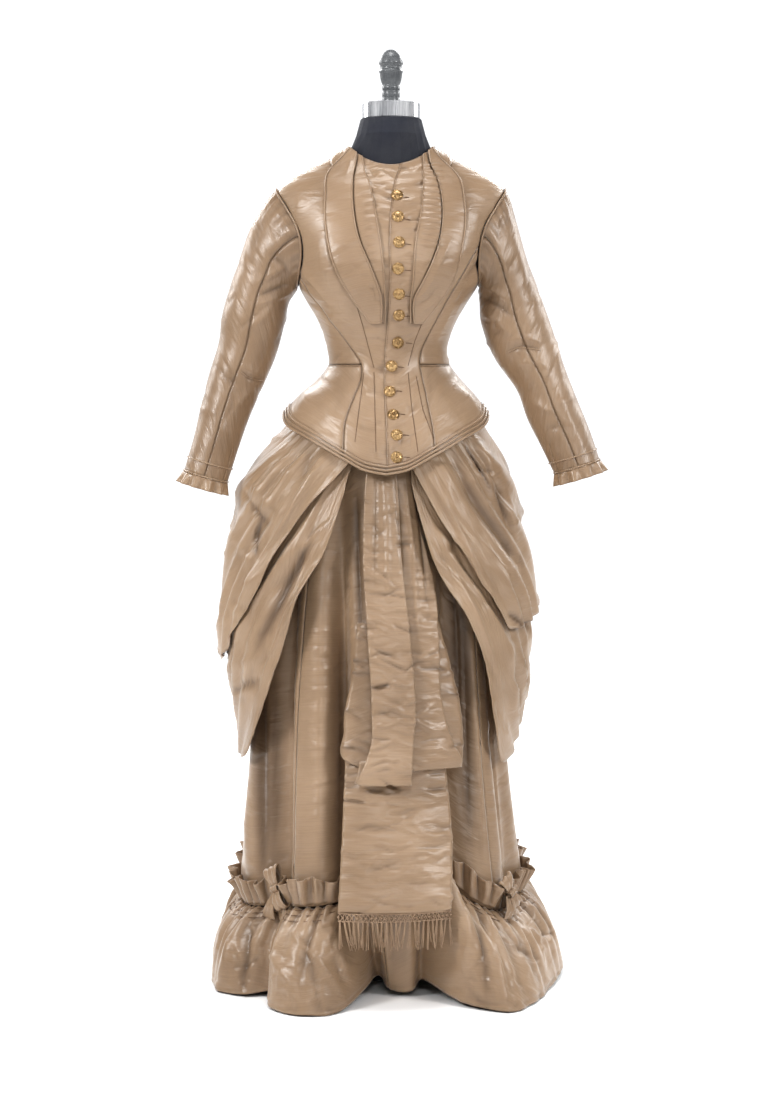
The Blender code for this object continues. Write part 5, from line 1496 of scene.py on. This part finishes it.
bpy.context.view_layer.update()
darts = {
    "frontR": (((374, 368), (364, 330), (354, 296), (341, 270), (331, 240), (328, 214)),
               ((374, 372), (375, 410), (376, 452)), ((364, 372), (359, 410), (355, 442))),
    "frontL": (((408, 366), (415, 340), (425, 316), (440, 290), (450, 272)),
               ((408, 372), (412, 410), (418, 452)), ((416, 376), (423, 410), (434, 440))),
}
for key, paths in darts.items():
    sewn = [pinned(shells[key], along(path, 40)) for path in paths]
    sewn = [line for line in sewn if len(line) > 3]
    pipe(f"dart_seams_{key[-1]}", sewn, 0.00042, threadSilk, 5)
slitLines = {
    "R": (((240, 448), (236, 462), (230, 476), (226, 494)), ((232, 449), (229, 462), (224, 478), (221, 492)),
          ((241, 372), (246, 376), (252, 379), (263, 381))),
    "L": (((541, 444), (545, 460), (550, 474), (556, 488)), ((549, 444), (553, 458), (558, 472), (563, 486)),
          ((508, 352), (520, 347), (540, 350))),
}
for mark, paths in slitLines.items():
    sewn = [pinned(shells[f"sleeve_{word}{mark}"], along(path, 24), 0.0006)
            for path in paths for word in ("upper", "under")]
    pipe(f"cuff_slit_{mark}", [line for line in sewn if len(line) > 3], 0.0009, trimSilk, 6)


# Piping: three cords round the basque's hem, and one along each revers, collar and cuff edge
piping = {
    "hemRadius": 0.0019, "hemOffsets": (0.0010, 0.0066, 0.0122), "edgeRadius": 0.0013,
    "stitchOffset": 0.0160, "armRadius": 0.0018, "waistRadius": 0.0009,
}


def surfaceLine(surface, us, vs, out):
    us, vs = np.broadcast_arrays(np.asarray(us, float), np.asarray(vs, float))
    return surface(us[None, :], vs[None, :], out)[0]


# Lines that keep one height above one side's basque hem, from the closure to the centre back
def hemLines(side, offset, out):
    lines = []
    for made, across, whole in ((front(side), steps(60), waistRows), (basque(1, side), steps(60), 1.0),
                                (basque(-1, side), steps(40)[::-1], 1.0)):
        tall = surfaceLine(made, across, whole, 0)[:, 2] - surfaceLine(made, across, 0.0, 0)[:, 2]
        lines.append(surfaceLine(made, across, offset / tall * whole, stuff["wall"] + out))
    return lines


for side, mark in marks.items():
    lines = [np.concatenate(hemLines(side, offset, 0.0008)) for offset in piping["hemOffsets"]]
    pipe(f"basque_piping_{mark}", lines, piping["hemRadius"], trimSilk)
    rows = steps(90, 0, len(bodiceLevels) - reversCut["start"] - 1)
    outer, inner = revers(side, False), revers(side, True)
    edges = [surfaceLine(outer, 1.0, rows, 0.0046), surfaceLine(outer, 0.0, rows, 0.0048),
             surfaceLine(outer, steps(12), 0.0, 0.0046), surfaceLine(inner, 0.0, rows, 0.0014)]
    pipe(f"revers_piping_{mark}", edges, piping["edgeRadius"], trimSilk)
    cuffRound = [sleeve(side, -90, 270)(np.linspace(0, 1, 81)[None, :], np.full((1, 81), at), 0.0016)[0]
              for at in (0.955, 0.998)]
    pipe(f"cuff_piping_{mark}", cuffRound, piping["edgeRadius"], trimSilk)
collarTop = surfaceLine(collar, steps(90), 2.0, 0.0010)
pipe("collar_piping", [collarTop], piping["edgeRadius"], trimSilk)
for side, mark in marks.items():
    armLine = surfaceLine(sleeve(side, -90, 270), steps(120), 0.002, -0.0012)
    pipe(f"armhole_cord_{mark}", [armLine], piping["armRadius"], sleeveSilk)
    waist = [surfaceLine(basque(1, side), steps(60), 1.0, 0.0006),
             surfaceLine(basque(-1, side), steps(40), 1.0, 0.0006)]
    pipe(f"waist_cord_{mark}", waist, piping["waistRadius"], trimSilk, 6)
shirring = {"rows": (0.016, 0.062, 0.112), "thread": 0.0005}
lines = []
for start, end in ((-127.5, -1.5), (-0.5, 127.5), (128.5, 231.5)):
    for row in shirring["rows"]:
        flat = surfaceLine(flounce(start, end), steps(360), row, 0.0012)
        turn = np.arctan2(flat[:, 0], -flat[:, 1])
        out = np.stack([np.sin(turn), -np.cos(turn), 0 * turn], axis=-1)
        lines.append(flat + 0.0016 * np.sin(96 * turn)[:, None] * out)
pipe("shirring_threads", lines, shirring["thread"], threadSilk, 4)
print("piping sewn on")


# Gilt buttons: a domed back, a beaded rim, and open petals round a raised middle
buttonMake = {"radius": 0.0096, "petals": 8, "beads": 26}


def turnedMesh(name, profile, count):
    turn = np.linspace(0, 2 * math.pi, count, endpoint=False)
    ring = np.array([[(r * math.cos(t), r * math.sin(t), z) for t in turn] for r, z in profile[1:-1]])
    points = np.concatenate([[(0, 0, profile[0][1])], ring.reshape(-1, 3), [(0, 0, profile[-1][1])]])
    faces = []
    for k in range(count):
        after = (k + 1) % count
        faces.append((0, 1 + k, 1 + after))
        for row in range(len(ring) - 1):
            a, b = 1 + row * count, 1 + (row + 1) * count
            faces.append((a + k, b + k, b + after, a + after))
        last = 1 + (len(ring) - 1) * count
        faces.append((last + k, len(points) - 1, last + after))
    mesh = bpy.data.meshes.new(name)
    mesh.from_pydata(points.tolist(), [], faces)
    mesh.shade_smooth()
    return mesh


def partsOfButton():
    r = buttonMake["radius"]
    dome = turnedMesh("buttonDome", [(0, 0.0036), (0.35 * r, 0.0034), (0.7 * r, 0.0026), (0.93 * r, 0.0012),
                                     (0.93 * r, 0.0), (0, 0.0)], 24)
    bead = turnedMesh("buttonBead", [(0, 0.0006), (0.0005, 0.0003), (0.0006, 0.0), (0.0005, -0.0003),
                                     (0, -0.0006)], 6)
    boss = turnedMesh("buttonBoss", [(0, 0.0058), (0.0010, 0.0054), (0.0017, 0.0044), (0.0019, 0.003),
                                     (0, 0.003)], 12)
    pieces = [(dome, (0, 0, 0), 1), (boss, (0, 0, 0), 1)]
    for k in range(buttonMake["beads"]):
        turn = 2 * math.pi * k / buttonMake["beads"]
        pieces.append((bead, (0.93 * r * math.cos(turn), 0.93 * r * math.sin(turn), 0.0014), 1.35))
    return pieces


def petalLines():
    r = buttonMake["radius"]
    lines = []
    for k in range(buttonMake["petals"]):
        turn = 2 * math.pi * k / buttonMake["petals"]
        line = []
        for t in np.linspace(0, 2 * math.pi, 13):
            reach = r * (0.52 + 0.30 * math.cos(t))
            wide = r * 0.17 * math.sin(t)
            x = reach * math.cos(turn) - wide * math.sin(turn)
            y = reach * math.sin(turn) + wide * math.cos(turn)
            line.append((x, y, 0.0042 - 0.192 * math.hypot(x, y)))
        lines.append(line)
    return lines


petals = bakeLines("petals", petalLines(), cords, {"Thickness": 0.00042, "Sides": 5}, giltMetal)
verts, faces = [], []
for mesh, place, size in partsOfButton() + [(petals.data, (0, 0, 0), 1)]:
    first = len(verts)
    verts += [tuple(size * v.co[k] + place[k] for k in range(3)) for v in mesh.vertices]
    faces += [tuple(first + k for k in face.vertices) for face in mesh.polygons]
bpy.data.objects.remove(petals, do_unlink=True)
for number in range(1, 13):
    node = f"button_{number:02d}"
    spots = np.array([v.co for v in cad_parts[node].data.vertices])
    centre = (spots.max(0) + spots.min(0)) / 2
    fromMiddle = spots - spots.mean(0)
    facing = Vector(np.linalg.svd(fromMiddle, full_matrices=False)[2][2])
    if facing.y > 0:
        facing = -facing
    turn = facing.to_track_quat("Z", "Y").to_matrix()
    base = Vector(centre) - 0.0024 * facing
    mesh = bpy.data.meshes.new(f"gilt_button_{number:02d}")
    mesh.from_pydata([tuple(base + turn @ Vector(v)) for v in verts], [], faces)
    mesh.shade_smooth()
    mesh.materials.append(giltMetal)
    piece = bpy.data.objects.new(mesh.name, mesh)
    bpy.context.scene.collection.objects.link(piece)
    settle(piece, node)
print("buttons sewn on")


# Stitches between the cords of the hem, and down the edge of the closure
stitchMesh = turnedMesh("stitch", [(0, 0.0011), (0.00026, 0.0008), (0.00032, 0.0), (0.00026, -0.0008),
                                   (0, -0.0011)], 6)
stitchShape = bpy.data.objects.new("stitch", stitchMesh)
bpy.context.scene.collection.objects.link(stitchShape)
rows = [line for side in marks for line in hemLines(side, piping["stitchOffset"], 0.0002)]
rows.append(surfaceLine(front(1), 0.02, steps(160, 0.2, waistRows + levelsAbove), stuff["wall"] + 0.0001))
stitching = {"Shape": stitchShape, "Spacing": 0.0034, "Size Change": 0.12, "Tilt Change": 0.10, "Seed": 7}
sewnRow = bakeLines("hem_stitches", rows, repeats, stitching, threadSilk)
settle(sewnRow)
bpy.data.objects.remove(stitchShape, do_unlink=True)


# Buttonholes: a worked slit beside each button, in a darker buttonhole stitch
holes = ((407, 197), (408, 219), (409, 244), (409, 270), (409, 296), (409, 316), (410, 343), (402, 367),
         (400, 391), (403, 414), (407, 435), (408, 457))
slits = [pinned(shells["frontL"], ((x - 4, y), (x - 1, y + 0.2), (x + 2, y + 0.6))) for x, y in holes]
pipe("buttonholes", [line for line in slits if len(line) == 3], 0.0006, threadSilk, 6)


# Fringe: a knotted lattice under the tail, and strands drawn down from it
fringe = {"cord": 0.00075, "lattice": 0.012, "mesh": 0.0072, "strand": 0.046, "perTassel": 5}
tailEdge = surfaceLine(sash(tailPath), steps(200), 1.0, 0.0006)
run = np.concatenate([[0], np.cumsum(np.linalg.norm(np.diff(tailEdge, axis=0), axis=1))])


def onTail(at, down):
    at = np.clip(at, 0, run[-1])
    return np.array([np.interp(at, run, tailEdge[:, k]) for k in range(3)]) - np.array([0, 0.0006, down])


lattice = []
for k in range(-2, int(run[-1] / fringe["mesh"]) + 2):
    for lean in (-1, 1):
        line = [onTail((k + 0.5 + lean * t) * fringe["mesh"], 0.0008 + fringe["lattice"] * t)
                for t in np.linspace(0, 1, 5) if 0 <= (k + 0.5 + lean * t) * fringe["mesh"] <= run[-1]]
        if len(line) > 1:
            lattice.append(line)
lattice.append([onTail(s, 0.0006) for s in np.linspace(0, run[-1], 60)])
lattice.append([onTail(s, fringe["lattice"]) for s in np.linspace(0, run[-1], 60)])
knotShape = bpy.data.objects.new("knot", turnedMesh("knot", [(0, 0.0017), (0.0012, 0.0011), (0.0016, 0.0),
                                                             (0.0012, -0.0011), (0, -0.0017)], 8))
bpy.context.scene.collection.objects.link(knotShape)
knotRows = [[onTail(s, 0.0006 + fringe["lattice"] * deep) for s in np.linspace(0.001, run[-1] - 0.001, 60)]
            for deep in (0.5, 1.0)]
knotting = {"Shape": knotShape, "Spacing": fringe["mesh"], "Size Change": 0.25, "Tilt Change": 0.3, "Seed": 3}
knots = bakeLines("fringe_knots", knotRows, repeats, knotting, fringeSilk)
settle(knots)
bpy.data.objects.remove(knotShape, do_unlink=True)
net = bakeLines("fringe_net", lattice, cords, {"Thickness": fringe["cord"], "Sides": 5}, fringeSilk)
settle(net, "sash_fringe")
chance = np.random.default_rng(91)
strands = []
for s in np.arange(0.003, run[-1], fringe["mesh"]):
    swing, push = chance.normal(0, 0.0045), chance.normal(0, 0.0015)
    for k in range(fringe["perTassel"]):
        top = onTail(s + 0.0004 * (k - 1.5), fringe["lattice"])
        long = fringe["strand"] * chance.uniform(0.70, 1.0)
        sway = swing + chance.normal(0, 0.0016) + 0.0006 * (k - 1.5)
        back = push + chance.normal(0, 0.0008)
        strands.append([top + np.array([sway * t * (0.4 + 0.6 * t), back * t - 0.0012 * t, -long * t])
                        for t in (0, 0.2, 0.45, 0.7, 1.0)])
hair = bakeLines("fringe_strands", strands, cords, {"Thickness": 0.0006, "Sides": 5}, fringeSilk)
settle(hair)
print("fringe knotted:", len(strands), "strands")


# Bows on the heading: two loops, two tails and the knot, from one strip of silk
def band(path, widths, lay):
    path, widths = np.array(path, float), np.array(widths, float)

    def surface(u, v, out=0.0):
        at = v * (len(path) - 1)
        whole = np.clip(at.astype(int), 0, len(path) - 2)
        part = (at - whole)[..., None]
        middle = path[whole] * (1 - part) + path[whole + 1] * part
        ahead = path[whole + 1] - path[whole]
        ahead = ahead / np.linalg.norm(ahead, axis=-1, keepdims=True)
        wide = widths[whole] * (1 - part[..., 0]) + widths[whole + 1] * part[..., 0]
        across = np.broadcast_to(np.array(lay, float), ahead.shape)
        outward = np.cross(across, ahead)
        outward = outward / np.linalg.norm(outward, axis=-1, keepdims=True)
        pleat = 0.0016 * np.sin(5 * math.pi * u + 6 * v) * (0.3 + 0.7 * np.abs(np.sin(math.pi * v)))
        return middle + ((u - 0.5) * wide)[..., None] * across + (pleat + out)[..., None] * outward

    return surface


bowMake = {
    "R": {"node": "bow_R", "tilt": 66, "loop": 0.034, "wide": 0.034, "tail": 0.046},
    "L": {"node": "bow_L", "tilt": 60, "loop": 0.030, "wide": 0.032, "tail": 0.036},
}
for mark, cut in bowMake.items():
    low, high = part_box(cut["node"])
    centre = np.array((low + high) / 2)
    turn = math.atan2(centre[0], -centre[1])
    right = np.array([math.cos(turn), math.sin(turn), 0.0])
    ahead = np.array([math.sin(turn), -math.cos(turn), 0.0])
    up = np.array([0.0, 0.0, 1.0])
    tilt = math.radians(cut["tilt"])
    bowWay = right * math.cos(tilt) - up * math.sin(tilt)
    over = right * math.sin(tilt) + up * math.cos(tilt)
    parts = []
    for way in (-1, 1):
        t = np.linspace(-math.pi / 4, math.pi / 4, 34)
        reach = cut["loop"] * np.sqrt(np.abs(np.cos(2 * t)))
        path = [centre + way * bowWay * r * math.cos(a) + ahead * r * math.sin(a) * 0.55 + ahead * 0.001
                for r, a in zip(reach, t)]
        width = [cut["wide"] * (0.35 + 0.65 * (r / cut["loop"]) ** 1.2) for r in reach]
        name = f"silk_bow_loop_{'lower' if way > 0 else 'upper'}_{mark}"
        parts.append((name, band(path, width, over), 10, 66))
    for way in (-1, 1):
        t = np.linspace(0, 1, 16)
        path = [centre + ahead * (0.003 - 0.002 * way) - up * (0.004 + cut["tail"] * k)
                + right * way * (0.004 + 0.010 * k) + ahead * 0.004 * math.sin(4 * k + way) for k in t]
        width = [0.012 + 0.016 * k for k in t]
        name = f"silk_bow_tail_{'left' if way > 0 else 'right'}_{mark}"
        parts.append((name, band(path, width, right), 8, 34))
    t = np.linspace(0, 2 * math.pi, 30)
    path = [centre + ahead * (0.002 + 0.0075 * math.cos(a)) + bowWay * 0.0062 * math.sin(a) for a in t]
    parts.append((f"silk_bow_knot_{mark}", band(path, [0.016] * 30, over), 8, 44))
    for name, surface, columns, rows in parts:
        layCloth(name, surface, steps(columns), steps(rows), trimSilk, cut["node"],
                 thick=0.0007)
print("bows tied")


# A record of what a piece was cut from, which no piece fills here: the piece; its width and length, taped
# along the finished surface at its longest;
# the area of its shape, which is the finished one with two per cent for ease; what holds it; and what it
# rests on
Cut = namedtuple("Cut", "piece width length area held rests")


# The dress form keeps its own solids, with their finishes; the knob is turned finer
knobProfile = ((0, 0.0848), (0.0052, 0.0842), (0.0105, 0.0815), (0.0148, 0.0768), (0.0176, 0.0705),
               (0.0190, 0.0650), (0.0194, 0.0620), (0.0184, 0.0606), (0.0172, 0.0596), (0.0170, 0.0560),
               (0.0171, 0.0526), (0.0184, 0.0514), (0.0194, 0.0504), (0.0190, 0.0490), (0.0182, 0.0472),
               (0.0176, 0.0420), (0.0166, 0.0362), (0.0153, 0.0322), (0.0141, 0.0296), (0.0133, 0.0280),
               (0.0141, 0.0269), (0.0143, 0.0236), (0.0141, 0.0203), (0.0132, 0.0193), (0.0141, 0.0183),
               (0.0143, 0.0140), (0.0141, 0.0096), (0.0132, 0.0086), (0.0141, 0.0076), (0.0143, 0.0030),
               (0.0141, 0.0), (0, 0.0))
low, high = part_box("finial")
knobMesh = turnedMesh("turned_finial", knobProfile, 64)
for vert in knobMesh.vertices:
    vert.co.z += low.z
knobMesh.materials.append(knobPaint)
knobPiece = bpy.data.objects.new("turned_finial", knobMesh)
bpy.context.scene.collection.objects.link(knobPiece)
settle(knobPiece, "finial")
for node, look in (("form_torso", formCloth), ("neck_band", chrome), ("stand_pole", standBlack),
                   ("stand_base", standBlack)):
    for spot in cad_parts[node].material_slots:
        spot.material = look
print("dress form finished")


# Studio: a plain pale floor, soft lights, a white surround behind the dress, and the camera
stageMake = {"half": 6.0, "deep": 3.9, "floor": 0.93, "dim": 0.24, "white": 1.06}
half, deep = stageMake["half"], stageMake["deep"]
corners = [(x, y, -0.0004) for x, y in ((-half, -half), (half, -half), (half, deep), (-half, deep))]
floor = tableMesh("paleFloor", np.array(corners), np.array([(0, 1, 2, 3)]))
paper, _, shader = newMaterial("palePaper")
shader.inputs["Base Color"].default_value = (stageMake["floor"],) * 3 + (1,)
shader.inputs["Roughness"].default_value = 0.9
floor.data.materials.append(paper)

Lamp = namedtuple("Lamp", "name place aim shape size power")
lamps = [
    Lamp("keyLeft", (-2.5, -2.0, 2.5), (0, 0, 0.85), "DISK", 0.9, 76),
    Lamp("keyRight", (2.6, -2.0, 2.3), (0, 0, 0.85), "DISK", 0.9, 54),
    Lamp("front", (0.3, -3.9, 2.3), (0, 0, 0.85), "DISK", 1.0, 26),
    Lamp("top", (0.0, -0.5, 3.4), (0, 0, 0.85), "DISK", 1.0, 30),
    Lamp("backLeft", (-2.4, 1.4, 2.0), (0, 0, 0.85), "DISK", 1.2, 24),
    Lamp("backRight", (2.4, 1.4, 2.0), (0, 0, 0.85), "DISK", 1.2, 24),
    Lamp("floorLeft", (-1.6, 2.8, 2.9), (-0.6, 3.2, 0.0), "SQUARE", 1.6, 95),
    Lamp("floorRight", (1.6, 2.8, 2.9), (0.6, 3.2, 0.0), "SQUARE", 1.6, 95),
]
for lamp in lamps:
    light = bpy.data.lights.new(lamp.name, "AREA")
    light.shape = lamp.shape
    light.size = lamp.size
    light.energy = lamp.power
    placed = bpy.data.objects.new(lamp.name, light)
    placed.location = lamp.place
    placed.rotation_euler = (Vector(lamp.aim) - Vector(lamp.place)).to_track_quat("-Z", "Y").to_euler()
    bpy.context.scene.collection.objects.link(placed)
world = bpy.data.worlds.new("studio")
world.use_nodes = True
tree = world.node_tree
background = tree.nodes["Background"]
background.inputs["Color"].default_value = (0.97, 0.98, 1.0, 1)
toward = tree.nodes.new("ShaderNodeTexCoord")
axes = tree.nodes.new("ShaderNodeSeparateXYZ")
behind = addNode(tree, "ShaderNodeMapRange", {"From Min": 0.60, "From Max": 0.90,
                                              "To Min": stageMake["dim"], "To Max": stageMake["white"]})
tree.links.new(toward.outputs["Generated"], axes.inputs["Vector"])
tree.links.new(axes.outputs["Y"], behind.inputs["Value"])
tree.links.new(behind.outputs["Result"], background.inputs["Strength"])
bpy.context.scene.world = world

lens = bpy.data.cameras.new("camera")
lens.sensor_fit = "AUTO"
lens.sensor_width = 36.0
lens.lens = 36.0 * camera["focal"] / camera["picture"][1]
lens.shift_x = (camera["picture"][0] / 2 - camera["middle"][0]) / camera["picture"][1]
lens.dof.use_dof = False
eye = bpy.data.objects.new("camera", lens)
eye.location = camera["place"]
eye.rotation_euler = (math.radians(90 - camera["pitch"]), 0.0, 0.0)
bpy.context.scene.collection.objects.link(eye)
bpy.context.scene.camera = eye
bpy.context.scene.view_settings.view_transform = "Standard"
bpy.context.scene.view_settings.look = "Medium High Contrast"

bpy.context.view_layer.update()
print("studio ready")
